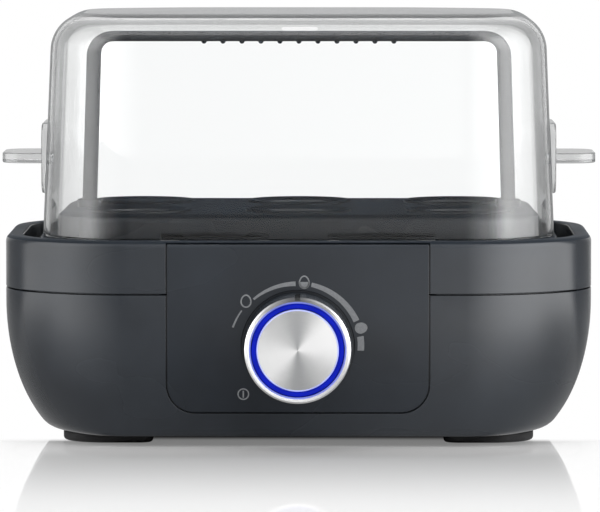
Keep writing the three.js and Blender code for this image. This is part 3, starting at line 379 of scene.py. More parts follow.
@dataclass(frozen=True)
class SpunMetal(Finish):
    """Turned aluminium: fine rings about the knob's axis as bump, and painted reflections in fan shapes in its
    colour.

    Each painted fan is its middle and half its width in degrees, and how far it darkens the colour.
    """

    # Painted reflections: each fan darkens the colour where turned metal would mirror something dark.
    fans: tuple[tuple[float, float, float], ...]
    dark: Colour = (0.24, 0.245, 0.25)
    light: Colour = (0.67, 0.67, 0.67)
    ring_pitch: float = 0.16
    wobble: float = 0.12
    streaks: float = 0.16
    streak_scale: Flat = (9000.0, 1.2)

    def surface(self, tree: Tree) -> Term:
        """Rings as bump, painted reflection in fan shapes and streaks of colour by the angle round the axis.

        Args:
            tree: The tree to add nodes to.
        Returns:
            The shader.
        """
        across, _, z = tree.axes()
        up = z - KNOB_HEIGHT * MM
        radius, angle = across.hypot(up), up.call("ARCTAN2", across)
        wobble = (tree.noise(260.0, 2.0) - 0.5) * self.wobble
        fans = []
        # Painted reflection: the colour is darkened in fan shapes round the axis.
        for middle, width, depth in self.fans:
            turn = (angle - math.radians(middle) + math.pi + wobble).call("WRAP", 2 * math.pi, 0.0) - math.pi
            fans.append(abs(turn).ramp(0.0, math.radians(width), depth, 0.0))
        fine, long = self.streak_scale
        streak = tree.noise(1.0, 3.0, tree.node("ShaderNodeCombineXYZ", {0: radius * fine, 1: angle * long}))
        tone = 1.0 - sum(fans[1:], fans[0]) + (streak - 0.5) * self.streaks
        rings = (radius * (2 * math.pi / (self.ring_pitch * MM))).call("SINE")
        return tree.principled({
            "Base Color": tree.mix(tone, self.dark, self.light),
            "Metallic": 1.0,
            "Roughness": streak.ramp(0.2, 0.8, 0.3, 0.42),
            "Normal": tree.bump(rings, 0.1, 0.03),
        })


@dataclass(frozen=True)
class BrushedMetal(Finish):
    """Rolled or brushed sheet with short scratches, along X unless told otherwise."""

    colour: Colour = (0.56, 0.57, 0.58)
    roughness: float = 0.28
    scratches: Point = (60.0, 1400.0, 1400.0)
    mark_scale: float = 45.0

    def surface(self, tree: Tree) -> Term:
        """Scratches in bump and roughness, water marks in colour.

        Args:
            tree: The tree to add nodes to.
        Returns:
            The shader.
        """
        scratch = tree.noise(1.0, 4.0, tree.stretched(self.scratches))
        marks = tree.noise(self.mark_scale, 3.0).ramp(0.35, 0.7)
        return tree.principled({
            "Base Color": tree.mix(marks, self.colour, toned(self.colour, 0.84)),
            "Metallic": 1.0,
            "Roughness": scratch.ramp(0.25, 0.75, self.roughness - 0.07, self.roughness + 0.09),
            "Normal": tree.bump(scratch, 0.12, 0.03),
        })


@dataclass(frozen=True)
class ClearPlastic(Finish):
    """Clear moulded plastic with faint flow lines, and a grey painted in as shade where the wall is seen edge
    on.

    A turn is where, from 0 face on to 1 edge on, a change begins and ends. least is the share of painted grey
    face on, and the painted shade share, turned_share and rim_share are what each of their turns adds to it.
    """

    tint: Colour = (0.985, 0.99, 0.99)
    grey: Colour = (0.2, 0.21, 0.215)
    ior: float = 1.12
    gloss: Flat = (0.2, 0.95)
    gloss_turn: Flat = (0.03, 0.14)
    least: float = 0.0
    veil: float = 0.12
    veil_turn: Flat = (0.07, 0.2)
    turned_share: float = 0.04
    side_turn: Flat = (0.45, 0.75)
    rim_share: float = 0.65
    rim_turn: Flat = (0.75, 0.97)
    flow_scale: float = 16.0
    flow_stretch: Point = (1.0, 1.0, 0.4)

    def surface(self, tree: Tree) -> Term:
        """Glass under a gloss, mixed with a painted grey shade by the angle of view.

        Args:
            tree: The tree to add nodes to.
        Returns:
            The shader.
        """
        flow = tree.noise(self.flow_scale, 2.0, tree.stretched(self.flow_stretch))
        facing = tree.node("ShaderNodeLayerWeight", {"Blend": 0.5}, "Facing")
        clear = tree.principled({
            "Base Color": self.tint,
            "Roughness": 0.015,
            "IOR": self.ior,
            "Transmission Weight": 1.0,
            "Coat Weight": facing.ramp(*self.gloss_turn, *self.gloss),
            "Coat IOR": 1.5,
            "Coat Roughness": 0.02,
            "Normal": tree.bump(flow, 0.05, 1.2),
        })
        # Painted shade: a lit grey that stands in for the dark edges that refraction gives.
        grey = tree.principled({"Base Color": self.grey, "Roughness": 0.6, "Specular IOR Level": 0.0})
        share = facing.ramp(*self.veil_turn, self.least, self.least + self.veil)
        share = share + facing.ramp(*self.side_turn, 0.0, self.turned_share)
        return tree.mix_shaders(share + facing.ramp(*self.rim_turn, 0.0, self.rim_share), clear, grey)


@dataclass(frozen=True)
class LitPlastic(Finish):
    """A light guide, which glows, or a rim with the guide's light painted on it as glow."""

    colour: Colour
    base: Colour
    lamps: int = 8
    ripple: float = 0.22

    def surface(self, tree: Tree) -> Term:
        """Glow that is a little stronger over each lamp behind the guide; on a rim it is painted light.

        Args:
            tree: The tree to add nodes to.
        Returns:
            The shader.
        """
        x, _, z = tree.axes()
        angle = (z - KNOB_HEIGHT * MM).call("ARCTAN2", x)
        over_lamp = (angle * float(self.lamps)).call("COSINE") * 0.5 + 0.5
        return tree.principled({
            "Base Color": self.base,
            "Roughness": 0.5,
            "Specular IOR Level": 0.05,
            "Emission Color": tree.mix(over_lamp, toned(self.colour, 1 - self.ripple), self.colour),
            "Emission Strength": 1.0,
        })


@dataclass(frozen=True)
class SpeckledSkin(Finish):
    """A matt skin with specks in its colour and roughness: rubber, silicone, fired ceramic or printed ink.

    specks and skin are the scale and detail of the specks and of the bump, and relief is the strength and
    height of the bump.
    """

    colour: Colour
    speck: Colour
    specks: Flat
    cover: Flat
    roughness: Flat
    skin: Flat
    relief: Flat
    gloss: float = 0.5

    def surface(self, tree: Tree) -> Term:
        """Specks over a fine skin.

        Args:
            tree: The tree to add nodes to.
        Returns:
            The shader.
        """
        specks = tree.noise(*self.specks)
        return tree.principled({
            "Base Color": tree.mix(specks.ramp(*self.cover), self.colour, self.speck),
            "Roughness": specks.ramp(0.3, 0.7, *self.roughness),
            "Specular IOR Level": self.gloss,
            "Normal": tree.bump(tree.noise(*self.skin), *self.relief),
        })


@dataclass(frozen=True)
class CircuitBoard(Finish):
    """Lacquered board with tracks under the lacquer."""

    lacquer: Colour = (0.012, 0.085, 0.035)
    track: Colour = (0.03, 0.16, 0.07)
    lanes: Flat = (2400.0, 2100.0)

    def surface(self, tree: Tree) -> Term:
        """Tracks as narrow bands along X and Z.

        Args:
            tree: The tree to add nodes to.
        Returns:
            The shader.
        """
        x, _, z = tree.axes()
        bands = (x * self.lanes[0]).call("SINE").peak((z * self.lanes[1]).call("SINE"))
        shown = bands.ramp(0.55, 0.7) * tree.noise(160.0, 1.0).ramp(0.45, 0.5)
        return tree.principled({
            "Base Color": tree.mix(shown, self.lacquer, self.track),
            "Roughness": shown.ramp(0.0, 1.0, 0.38, 0.28),
            "Normal": tree.bump(shown, 0.3, 0.05),
        })


DARK = MouldedPlastic("dark_plastic", (0.0238, 0.029, 0.0368), roughness=0.25, grain=0.035)
RIM = MouldedPlastic("rim_plastic", (0.0238, 0.029, 0.0368), roughness=0.5, grain=0.02, gloss=0.03)
TRAY = MouldedPlastic(
    "tray_plastic", (0.0075, 0.0115, 0.0175), roughness=0.85, grain=0.01, grain_size=1.2, gloss=0.01,
)
SKIRT = MouldedPlastic("tray_skirt", (0.0085, 0.012, 0.0175), roughness=0.27, grain=0.015, gloss=0.3)
BOW = MouldedPlastic("bow_plastic", (0.011, 0.0155, 0.021), roughness=0.5, grain=0.02, gloss=0.05)
PANEL = MouldedPlastic("panel_plastic", (0.0192, 0.0242, 0.032), roughness=0.26, grain=0.05, gloss=0.33)
BLACK = MouldedPlastic("black_plastic", (0.011, 0.012, 0.013), roughness=0.45, grain=0.2)
COMPONENT = MouldedPlastic("component_case", (0.014, 0.014, 0.016), roughness=0.4, grain=0.1)
SOFT_SKIN = {
    "specks": (120.0, 4.0), "cover": (0.4, 0.75), "skin": (1500.0, 2.0), "relief": (0.2, 0.04), "gloss": 0.35,
}
RUBBER = SpeckledSkin(
    "foot_rubber", (0.012, 0.012, 0.013), (0.022, 0.022, 0.0235), roughness=(0.64, 0.82), **SOFT_SKIN,
)
SILICONE = SpeckledSkin(
    "gasket_silicone", (0.24, 0.245, 0.24), (0.364, 0.3715, 0.364), roughness=(0.52, 0.7), **SOFT_SKIN,
)
CERAMIC = SpeckledSkin(
    "fired_ceramic", (0.68, 0.64, 0.56), (0.544, 0.512, 0.448),
    specks=(900.0, 3.0), cover=(0.45, 0.8), roughness=(0.55, 0.75), skin=(900.0, 3.0), relief=(0.3, 0.06),
)
INK = SpeckledSkin(
    "printed_ink", (0.2494, 0.258, 0.2709), (0.29, 0.30, 0.315),
    specks=(1400.0, 2.0), cover=(0.35, 0.65), roughness=(0.42, 0.55), skin=(1400.0, 2.0), relief=(0.1, 0.02),
)
STEEL = BrushedMetal("plain_steel")
ALUMINIUM = BrushedMetal(
    "cast_aluminium", (0.62, 0.63, 0.65), roughness=0.36, scratches=(300.0, 300.0, 300.0),
)
# Painted reflections: the fan shapes darken the face's colour where its bow-tie reflections are dark.
SPUN = SpunMetal(
    "spun_aluminium", ((82.0, 48.0, 0.55), (122.0, 75.0, 0.52), (-98.0, 48.0, 0.52), (-62.0, 72.0, 0.58)),
)
# Painted reflections: the ring's colour is darkest at the top, where it would mirror the dark panel.
SATIN = SpunMetal(
    "satin_ring", ((90.0, 76.0, 0.97), (50.0, 22.0, 0.25), (128.0, 22.0, 0.15), (-35.0, 60.0, 0.42)),
    dark=(0.08, 0.08, 0.085), light=(0.82, 0.82, 0.82),
)
# Painted shade: the clear finishes differ in how much grey they mix in, and the grip's is grey all over.
CLEAR = ClearPlastic("clear_plastic", least=0.012)
CLEAR_INSIDE = ClearPlastic("clear_inside", veil=0.07, turned_share=0.0, rim_share=0.0)
CLEAR_TOP = ClearPlastic("clear_top", least=0.012, rim_share=0.3)
GRIP = ClearPlastic("grip_plastic", ior=1.3, least=0.26, veil=0.0, turned_share=0.0, rim_share=0.05)
BLUE = LitPlastic("blue_guide", (0.003, 0.01, 0.36), base=(0.004, 0.008, 0.15))
# Painted light: the guide's blue light painted as glow on the bezel's inner edge and on the face's edge.
PAINTED_RIM_GLOW = LitPlastic("blue_rim", (0.1, 0.13, 0.5), base=(0.2, 0.22, 0.35))
PAINTED_FACE_GLOW = LitPlastic("blue_gleam", (0.3, 0.35, 0.75), base=(0.35, 0.36, 0.45))
BOARD = CircuitBoard("circuit_board")


class Slot(Enum):
    """The record's material slots and the finish that each is dressed with."""

    dark_plastic = DARK
    panel_plastic = PANEL
    black_plastic = BLACK
    rubber = RUBBER
    silicone = SILICONE
    steel = STEEL
    aluminium = ALUMINIUM
    clear_plastic = CLEAR
    blue_light = BLUE
    board = BOARD
    component = COMPONENT
    ceramic = CERAMIC


# Meshes


def add(name: str, data: bpy.types.ID) -> Piece:
    """Puts a new object into the scene.

    Args:
        name: Its name.
        data: Its mesh, camera or light.
    Returns:
        The object.
    """
    made = bpy.data.objects.new(name, data)
    bpy.context.scene.collection.objects.link(made)
    return made


def settle(piece: Piece) -> Piece:
    """Applies a piece's modifiers to its mesh.

    Args:
        piece: The piece.
    Returns:
        The same piece, with a plain mesh and no modifier.
    """
    bpy.context.view_layer.update()
    evaluated = piece.evaluated_get(bpy.context.evaluated_depsgraph_get())
    result = bpy.data.meshes.new_from_object(evaluated)
    piece.modifiers.clear()
    piece.data = result
    return piece


def modified(piece: Piece, kind: str, **settings: object) -> Piece:
    """Applies one modifier to a piece.

    Args:
        piece: The piece.
        kind: The modifier's type.
        settings: The modifier's properties.
    Returns:
        The same piece.
    """
    modifier = piece.modifiers.new(kind.lower(), kind)
    for name, value in settings.items():
        setattr(modifier, name, value)
    return settle(piece)


def shade(piece: Piece, angle: float = 34.0) -> Piece:
    """Smooths a piece, apart from its sharp edges, so that large faces stay flat.

    Args:
        piece: The piece.
        angle: Edges sharper than this, in degrees, stay sharp.
    Returns:
        The same piece.
    """
    piece.data.polygons.foreach_set("use_smooth", [True] * len(piece.data.polygons))
    piece.data.set_sharp_from_angle(angle=math.radians(angle))
    return modified(piece, "WEIGHTED_NORMAL", keep_sharp=True, weight=60)


def carve(body: Piece, tool: Piece, mode: str = "DIFFERENCE") -> Piece:
    """Cuts or joins a body with a tool, which is used up.

    Args:
        body: The body.
        tool: The tool.
        mode: The boolean's operation.
    Returns:
        The body.
    """
    modified(body, "BOOLEAN", operation=mode, solver="EXACT", object=tool)
    bpy.data.objects.remove(tool)
    return body


def rounded_edges(body: Piece, width: float, segments: int = 3) -> Piece:
    """Rounds edges sharper than 40 degrees by a width in millimetres."""
    limits = {"limit_method": "ANGLE", "angle_limit": math.radians(40.0)}
    return modified(body, "BEVEL", width=width * MM, segments=segments, **limits)


def piece_of(name: str, points: Sequence[Point], faces: Sequence[Sequence[int]]) -> Piece:
    """Makes a piece from points in millimetres.

    Args:
        name: The piece's name.
        points: Vertices.
        faces: Vertex numbers of each face.
    Returns:
        The new object, with doubles merged and faces pointing outwards.
    """
    mesh = bpy.data.meshes.new(name)
    mesh.from_pydata([Vector(p) * MM for p in points], [], faces)
    edit = bmesh.new()
    edit.from_mesh(mesh)
    bmesh.ops.remove_doubles(edit, verts=edit.verts, dist=0.002 * MM)
    bmesh.ops.recalc_face_normals(edit, faces=edit.faces)
    edit.to_mesh(mesh)
    edit.free()
    return add(name, mesh)


def joined(name: str, pieces: Sequence[Piece]) -> Piece:
    """Puts the meshes of several pieces into one object.

    Args:
        name: The new piece's name.
        pieces: The pieces, which are used up.
    Returns:
        The new piece.
    """
    edit = bmesh.new()
    for piece in pieces:
        edit.from_mesh(piece.data)
        bpy.data.objects.remove(piece)
    mesh = bpy.data.meshes.new(name)
    edit.to_mesh(mesh)
    edit.free()
    return add(name, mesh)


def skin(name: str, rings: Sequence[Ring], closed: bool = False, ladder: bool = False) -> Piece:
    """Skins rings of equally many points.

    Args:
        name: The piece's name.
        rings: The rings in order.
        closed: Whether the last ring joins the first. Otherwise both ends are capped.
        ladder: Whether the caps are rungs between opposite points, for rings that mirror.
    Returns:
        The skinned piece.
    """
    count = len(rings[0])
    points = [p for ring in rings for p in ring]
    faces = []
    for span in range(len(rings) if closed else len(rings) - 1):
        low, high = span * count, (span + 1) % len(rings) * count
        faces += [(low + i, low + (i + 1) % count, high + (i + 1) % count, high + i) for i in range(count)]
    for start in () if closed else (0, (len(rings) - 1) * count):
        end = start + count
        if ladder:
            faces += [(start + i, start + i + 1, end - 2 - i, end - 1 - i) for i in range(count // 2 - 1)]
        else:
            faces.append(tuple(range(start, end)))
    return piece_of(name, points, faces)


def circle(centre: Flat, radius: float, sides: int) -> list[Flat]:
    """Points of a full circle."""
    turns = [2 * math.pi * i / sides for i in range(sides)]
    return [(centre[0] + radius * math.cos(a), centre[1] + radius * math.sin(a)) for a in turns]


def lathe(name: str, outline: Sequence[Flat], centre: Flat, sides: int = 96) -> Piece:
    """Turns an outline of (radius, y) about the front-to-back line through (x, z).

    Args:
        name: The piece's name.
        outline: A closed outline, or one that starts and ends on the axis.
        centre: The line's x and z.
        sides: Sides of each turn.
    Returns:
        The turned piece.
    """
    rings = [[(x, y, z) for x, z in circle(centre, radius, sides)] for radius, y in outline]
    return skin(name, rings, closed=outline[0][0] > 0)


def upright(name: str, outline: Sequence[Flat], centre: Flat, sides: int = 72) -> Piece:
    """Turns an outline of (radius, z) about the upright line through (x, y), and caps it.

    Args:
        name: The piece's name.
        outline: The outline from one cap to the other.
        centre: The line's x and y.
        sides: Sides of each turn.
    Returns:
        The turned piece.
    """
    rings = [[(x, y, z) for x, y in circle(centre, radius, sides)] for radius, z in outline]
    return skin(name, rings)


def drill(body: Piece, centre: Flat, radius: float, reach: Flat, sides: int = 96) -> Piece:
    """Bores a round hole along the front-to-back line through (x, z).

    Args:
        body: The body.
        centre: The line's x and z.
        radius: The hole's radius.
        reach: Where the drill starts and ends in Y.
        sides: Sides of the hole.
    Returns:
        The body.
    """
    outline = [(0.0, reach[0]), (radius, reach[0]), (radius, reach[1]), (0.0, reach[1])]
    return carve(body, lathe("drill", outline, centre, sides))


def front_prism(name: str, outline: Sequence[Flat], from_y: float, to_y: float) -> Piece:
    """Gives an outline in X and Z its depth."""
    return skin(name, [[(x, y, z) for x, z in outline] for y in (from_y, to_y)])


def upright_prism(name: str, outline: Sequence[Flat], from_z: float, to_z: float) -> Piece:
    """Gives an outline in X and Y its height."""
    return skin(name, [[(x, y, z) for x, y in outline] for z in (from_z, to_z)])


def block(name: str, low: Point, high: Point) -> Piece:
    """A cutter with square corners."""
    outline = [(low[0], low[1]), (high[0], low[1]), (high[0], high[1]), (low[0], high[1])]
    return upright_prism(name, outline, low[2], high[2])


def arc(centre: Flat, radius: float, start: float, end: float, steps: int) -> list[Flat]:
    """Points of an arc.

    Args:
        centre: Its middle.
        radius: Its radius.
        start: The angle of its first point, in degrees.
        end: The angle of its last point.
        steps: Steps between them.
    Returns:
        The points.
    """
    turns = [math.radians(start + (end - start) * i / steps) for i in range(steps + 1)]
    return [(centre[0] + radius * math.cos(a), centre[1] + radius * math.sin(a)) for a in turns]


def filleted(corners: Sequence[Corner], closed: bool = True, steps: int = ARC_STEPS) -> list[Flat]:
    """Rounds the corners of an outline.

    Args:
        corners: Each corner's two coordinates and its fillet radius.
        closed: Whether the last corner joins the first.
        steps: Steps of each fillet.
    Returns:
        The outline's points.
    """
    nearly_straight, most_of_side = math.radians(88), 0.48
    made = []
    for i, (a, b, radius) in enumerate(corners):
        here = Vector((a, b))
        before = Vector(corners[i - 1][:2]) - here
        after = Vector(corners[(i + 1) % len(corners)][:2]) - here
        half = before.angle(after, 0.0) / 2
        open_end = not closed and i in (0, len(corners) - 1)
        if radius <= 0 or open_end or half > nearly_straight:
            made.append((a, b))
            continue
        reach = min(radius / math.tan(half), most_of_side * before.length, most_of_side * after.length)
        true_radius = reach * math.tan(half)
        middle = (before.normalized() + after.normalized()).normalized()
        centre = here + middle * (true_radius / math.sin(half))
        first = here + before.normalized() * reach - centre
        last = here + after.normalized() * reach - centre
        turns = [first.slerp(last, step / steps).normalized() for step in range(steps + 1)]
        made += [tuple(centre + turn * true_radius) for turn in turns]
    return made


def rounded_box(low: Flat, high: Flat, radius: float, steps: int = 8) -> list[Flat]:
    """A rectangle with rounded corners, anticlockwise."""
    corners = [(high[0], low[1]), (high[0], high[1]), (low[0], high[1]), (low[0], low[1])]
    return filleted([(x, y, radius) for x, y in corners], steps=steps)


def dress(piece: Piece, finish: Finish) -> Piece:
    """Gives a piece one finish.

    Args:
        piece: The piece.
        finish: The finish.
    Returns:
        The piece.
    """
    piece.data.materials.clear()
    piece.data.materials.append(finish.material())
    return piece


def repaint(piece: Piece, finish: Finish, chosen: Callable[[Vector, Vector], bool]) -> None:
    """Gives the chosen faces another finish.

    Args:
        piece: The piece, which already has its main finish.
        finish: The other finish.
        chosen: Tells by a face's centre, in millimetres, and its normal.
    """
    piece.data.materials.append(finish.material())
    index = len(piece.data.materials) - 1
    for polygon in piece.data.polygons:
        if chosen(polygon.center / MM, polygon.normal):
            polygon.material_index = index


def seat(piece: Piece, body: str, slot: Slot, *nodes: str) -> Piece:
    """Puts a finished piece on its body.

    Args:
        piece: The piece.
        body: The body that it rides on.
        slot: The record's material slot that it stands for. It is not used.
        nodes: The CAD nodes that it stands for.
    Returns:
        The same piece.
    """
    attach(piece, body)
    if nodes:
        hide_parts(*nodes)
    LOG.info("%s rides on %s, %d faces", piece.name, body, len(piece.data.polygons))
    return piece


def box_of(node: str) -> tuple[Vector, Vector]:
    """A CAD node's lowest and highest corners, in millimetres."""
    low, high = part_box(node)
    return low / MM, high / MM


def middle_of(node: str) -> Point:
    """The middle of a CAD node's box, in millimetres."""
    return tuple((low + high) / 2 for low, high in zip(*box_of(node)))


# Shared forms


@dataclass(frozen=True)
class Plan:
    """The base's rounded plan, which the rings of most pieces are drawn in from."""

    half_x: float
    half_y: float
    middle_y: float
    corner: float = 44.0
    least: float = 2.0

    @classmethod
    def of_frame(cls) -> "Plan":
        """Reads the plan from the collar's box."""
        low, high = box_of("rim_collar")
        return cls((high.x - low.x) / 2, (high.y - low.y) / 2, (high.y + low.y) / 2)

    @property
    def front(self) -> float:
        """Where the base's front stands in Y."""
        return self.middle_y - self.half_y

    @property
    def back(self) -> float:
        """Where the base's back stands in Y."""
        return self.middle_y + self.half_y

    def ring(self, inset_x: float, inset_y: float, z: float, steps: int = CORNER_STEPS) -> Ring:
        """One ring of the plan.

        Args:
            inset_x: How far the ends are drawn in.
            inset_y: How far the front and back are drawn in.
            z: The ring's height.
            steps: Steps of each corner.
        Returns:
            The ring's points, anticlockwise from above.
        """
        radius_x = max(self.corner - inset_x, self.least)
        radius_y = max(self.corner - inset_y, self.least)
        made = []
        for quarter, (sign_x, sign_y) in enumerate(((1, 1), (-1, 1), (-1, -1), (1, -1))):
            centre_x = sign_x * (self.half_x - inset_x - radius_x)
            centre_y = self.middle_y + sign_y * (self.half_y - inset_y - radius_y)
            for step in range(steps + 1):
                angle = (quarter + step / steps) * math.pi / 2
                made.append((centre_x + radius_x * math.cos(angle), centre_y + radius_y * math.sin(angle), z))
        return made

    def even(self, outline: Sequence[Flat]) -> list[Ring]:
        """Rings of an outline of (inset, z)."""
        return [self.ring(inset, inset, z) for inset, z in outline]


@dataclass(frozen=True)
class BaseForm:
    """The base's outer form: an upright band that draws in towards the floor."""

    rim_top: float = 70.0
    rim_fillet: float = 2.2
    seam: float = 52.0
    seam_gap: float = 0.4
    foot_gap: float = 3.5
    flare_top: float = 48.0
    flare_height: float = 50.0
    flare_width: float = 28.0
    end_share: float = 0.28
    toe_drop: float = 2.8
    toe_width: float = 7.0

    def flare(self, z: float) -> float:
        """How far the ends have drawn in at a height."""
        drop = min(max((self.flare_top - z) / self.flare_height, 0.0), 1.0)
        return self.flare_width * (1 - math.sqrt(1 - drop * drop))

    @property
    def toe(self) -> float:
        """How far the lowest edge is drawn in at the ends."""
        return self.flare(self.foot_gap + self.toe_drop) + self.toe_width

    def toe_ring(self, plan: Plan, add_on: float, z: float) -> Ring:
        """The lowest edge's ring, drawn in further by add_on."""
        return plan.ring(self.toe + add_on, self.toe * self.end_share + add_on, z)

    def front_inset(self, z: float) -> float:
        """How far the front face has drawn in at a height.

        Args:
            z: The height.
        Returns:
            The inset, the rim's fillet included.
        """
        into_rim = z - (self.rim_top - self.rim_fillet)
        if into_rim <= 0:
            return self.flare(z) * self.end_share
        return self.rim_fillet - math.sqrt(max(self.rim_fillet**2 - into_rim**2, 0.0))

    def side_outline(self, steps: int = 26) -> list[Flat]:
        """The side from the toe's edge to the flare's top.

        Args:
            steps: Steps along the flare.
        Returns:
            Points of (inset, z). The toe is a curve of the second degree that meets the flare at its slope.
        """
        start, probe = self.foot_gap + self.toe_drop, 0.05
        slope = (self.flare(start - probe) - self.flare(start + probe)) / (2 * probe)
        first = Vector((self.toe, self.foot_gap))
        bend = Vector((self.flare(start) + slope * self.toe_drop, self.foot_gap))
        last = Vector((self.flare(start), start))
        made = []
        for i in range(ARC_STEPS + 1):
            t = i / (ARC_STEPS + 1)
            made.append(tuple(first * (1 - t) ** 2 + bend * 2 * t * (1 - t) + last * t * t))
        for i in range(steps + 1):
            z = self.flare_top - (self.flare_top - start) * math.cos(math.pi / 2 * i / steps)
            made.append((self.flare(z), z))
        return made


# Base


@dataclass
class FrontPanel:
    """The flush front panel and the recess that it sits in."""

    plan: Plan
    form: BaseForm
    width: float = 88.3
    bottom: float = 12.0
    top: float = 69.0
    corner_radius: float = 9.4
    thickness: float = 2.0
    groove: float = 0.45
    soft_edge: float = 0.22
    backing: float = 2.2
    backing_gap: float = 0.3
    ledge: float = 6.0
    hole_radius: float = 16.2
    dish_radius: float = 19.1
    dish_depth: float = 0.7
    dish_lip: float = 0.25

    def outline(self, margin: float) -> list[Flat]:
        """The panel's outline.

        Args:
            margin: How far it is grown on every side.
        Returns:
            Points of (x, z), down the right side and up the left one as its mirror.
        """
        half = self.width / 2 + margin
        radius = self.corner_radius + margin
        low, high = self.bottom - margin, self.top + margin
        rim_start = self.form.rim_top - self.form.rim_fillet
        levels = [high - (high - rim_start) * i / 8 for i in range(8)]
        levels += [rim_start - (rim_start - low - radius) * i / 30 for i in range(30)]
        right = [(half, z) for z in levels]
        right += arc((half - radius, low + radius), radius, 0, -90, 14)
        return right + [(-x, z) for x, z in reversed(right)]

    def surface_y(self, z: float, depth: float = 0.0) -> float:
        """Where the front surface, or one behind it, stands at a height."""
        return self.plan.front + self.form.front_inset(z) + depth

    def slab(self, name: str, *levels: Flat) -> Piece:
        """A body that follows the front surface.

        Args:
            name: Its name.
            levels: Its section as (margin, depth), front to back.
        Returns:
            The body.
        """
        rings = [
            [(x, self.surface_y(z, depth), z) for x, z in self.outline(margin)] for margin, depth in levels
        ]
        return skin(name, rings, ladder=True)

    def recess(self) -> Piece:
        """Makes the cutter for the recess, with a softened mouth.

        Returns:
            The cutter.
        """
        groove, soft = self.groove, self.soft_edge
        mouth, deep = groove + soft, self.thickness + self.backing_gap
        levels = [
            (mouth + 0.05, -OVERCUT), (mouth, -0.02),
            (groove + soft * 0.3, soft * 0.3), (groove, soft), (groove, deep),
        ]
        return self.slab("recess", *levels)

    def build(self) -> Piece:
        """Makes the panel with its soft edge, the knob's hole and a shallow dish round the knob.

        Returns:
            The finished piece.
        """
        soft, radius, lip = self.soft_edge, self.dish_radius, self.dish_lip
        shallow = (-soft * 0.3, soft * 0.3)
        panel = self.slab("control_panel", (-soft, 0.0), shallow, (0.0, soft), (0.0, self.thickness))
        front, centre = self.surface_y(KNOB_HEIGHT), (0.0, KNOB_HEIGHT)
        dish = [
            (0.0, front - OVERCUT), (radius + lip, front - OVERCUT), (radius + 0.2, front),
            (radius, front + lip), (radius, front + self.dish_depth), (0.0, front + self.dish_depth),
        ]
        carve(panel, lathe("dish", dish, centre))
        drill(panel, centre, self.hole_radius, (front - OVERCUT, front + 2 * OVERCUT))
        shade(dress(panel, PANEL))
        return seat(panel, "base", Slot.panel_plastic, "front_panel")


@dataclass
class CordEntry:
    """The rubber gland at the back, ready for a cord."""

    centre: Flat = (46.0, 24.0)
    wall_bore: float = 4.9
    bore: float = 3.2
    neck: float = 4.6
    flange: float = 6.4
    flange_depth: float = 2.6

    def build(self) -> Piece:
        """Turns the gland.

        Returns:
            The finished piece.
        """
        low, high = box_of("cord_gland")
        front, back, wall = low.y, high.y, high.y - self.flange_depth
        outline = filleted([
            (self.bore, front, 0.3), (self.neck, front, 0.5), (self.neck, wall, 0.2),
            (self.flange, wall + 0.3, 0.2), (self.flange, back, 0.9), (self.bore, back, 0.5),
        ])
        gland = shade(dress(lathe("cord_entry", outline, self.centre, 64), RUBBER))
        return seat(gland, "base", Slot.rubber, "cord_gland")


@dataclass
class Housing:
    """The lower housing: a drawn-in shell with the panel's recess in its front."""

    plan: Plan
    form: BaseForm
    panel: FrontPanel
    entry: CordEntry
    wall: float = 2.4
    skirt: float = 3.0
    lip_width: float = 7.0
    lip_floor: float = 6.8
    lip_roof: float = 9.2
    window_depth: float = 9.0
    bore_depth: float = 20.0
    cut_off: Point = (80.0, 90.0, 80.0)

    def section(self) -> list[Ring]:
        """The shell's closed section, swept round the plan.

        Returns:
            The rings, each drawn in by an equal part all round and by an inset, of which the front and back
            take a share.
        """
        form, toe = self.form, self.form.toe
        top = form.seam - form.seam_gap / 2
        outer = [(inset, 0.0, z) for inset, z in form.side_outline()]
        outer += [(0.0, 0.0, top - 0.35), (0.0, 0.1, top - 0.1), (0.0, 0.35, top)]
        inner = [(0.0, self.wall, top), (0.0, self.wall, form.flare_top)]
        heights = [form.flare_top - (form.flare_top - self.lip_roof) * i / 12 for i in range(1, 13)]
        inner += [(form.flare(z), self.wall, z) for z in heights]
        lip_end = self.skirt + self.lip_width
        lip = [
            (toe, lip_end, self.lip_roof), (toe, lip_end, self.lip_floor),
            (toe, self.skirt, self.lip_floor), (toe, self.skirt, form.foot_gap),
        ]
        return [
            self.plan.ring(inset + equal, inset * form.end_share + equal, z)
            for inset, equal, z in outer + inner + lip
        ]

    def build(self) -> Piece:
        """Makes the shell with its backing, recess, window and the cord's bore.

        Returns:
            The finished piece.
        """
        shell = skin("lower_shell", self.section(), closed=True)
        panel, depth = self.panel, self.panel.thickness + self.panel.backing_gap
        backing = panel.slab("backing", (panel.backing, depth), (panel.backing, depth + panel.backing))
        wide, far, high = self.cut_off
        above = block("above", (-wide, -far, self.form.seam - self.form.seam_gap / 2), (wide, 0.0, high))
        carve(shell, carve(backing, above), "UNION")
        carve(shell, panel.recess())
        carve(shell, panel.slab("window", (-panel.ledge, -OVERCUT), (-panel.ledge, self.window_depth)))
        reach = (self.plan.back - self.bore_depth, self.plan.back + OVERCUT)
        drill(shell, self.entry.centre, self.entry.wall_bore, reach, 48)
        shade(dress(shell, DARK))
        return seat(shell, "base", Slot.dark_plastic, "lower_housing")


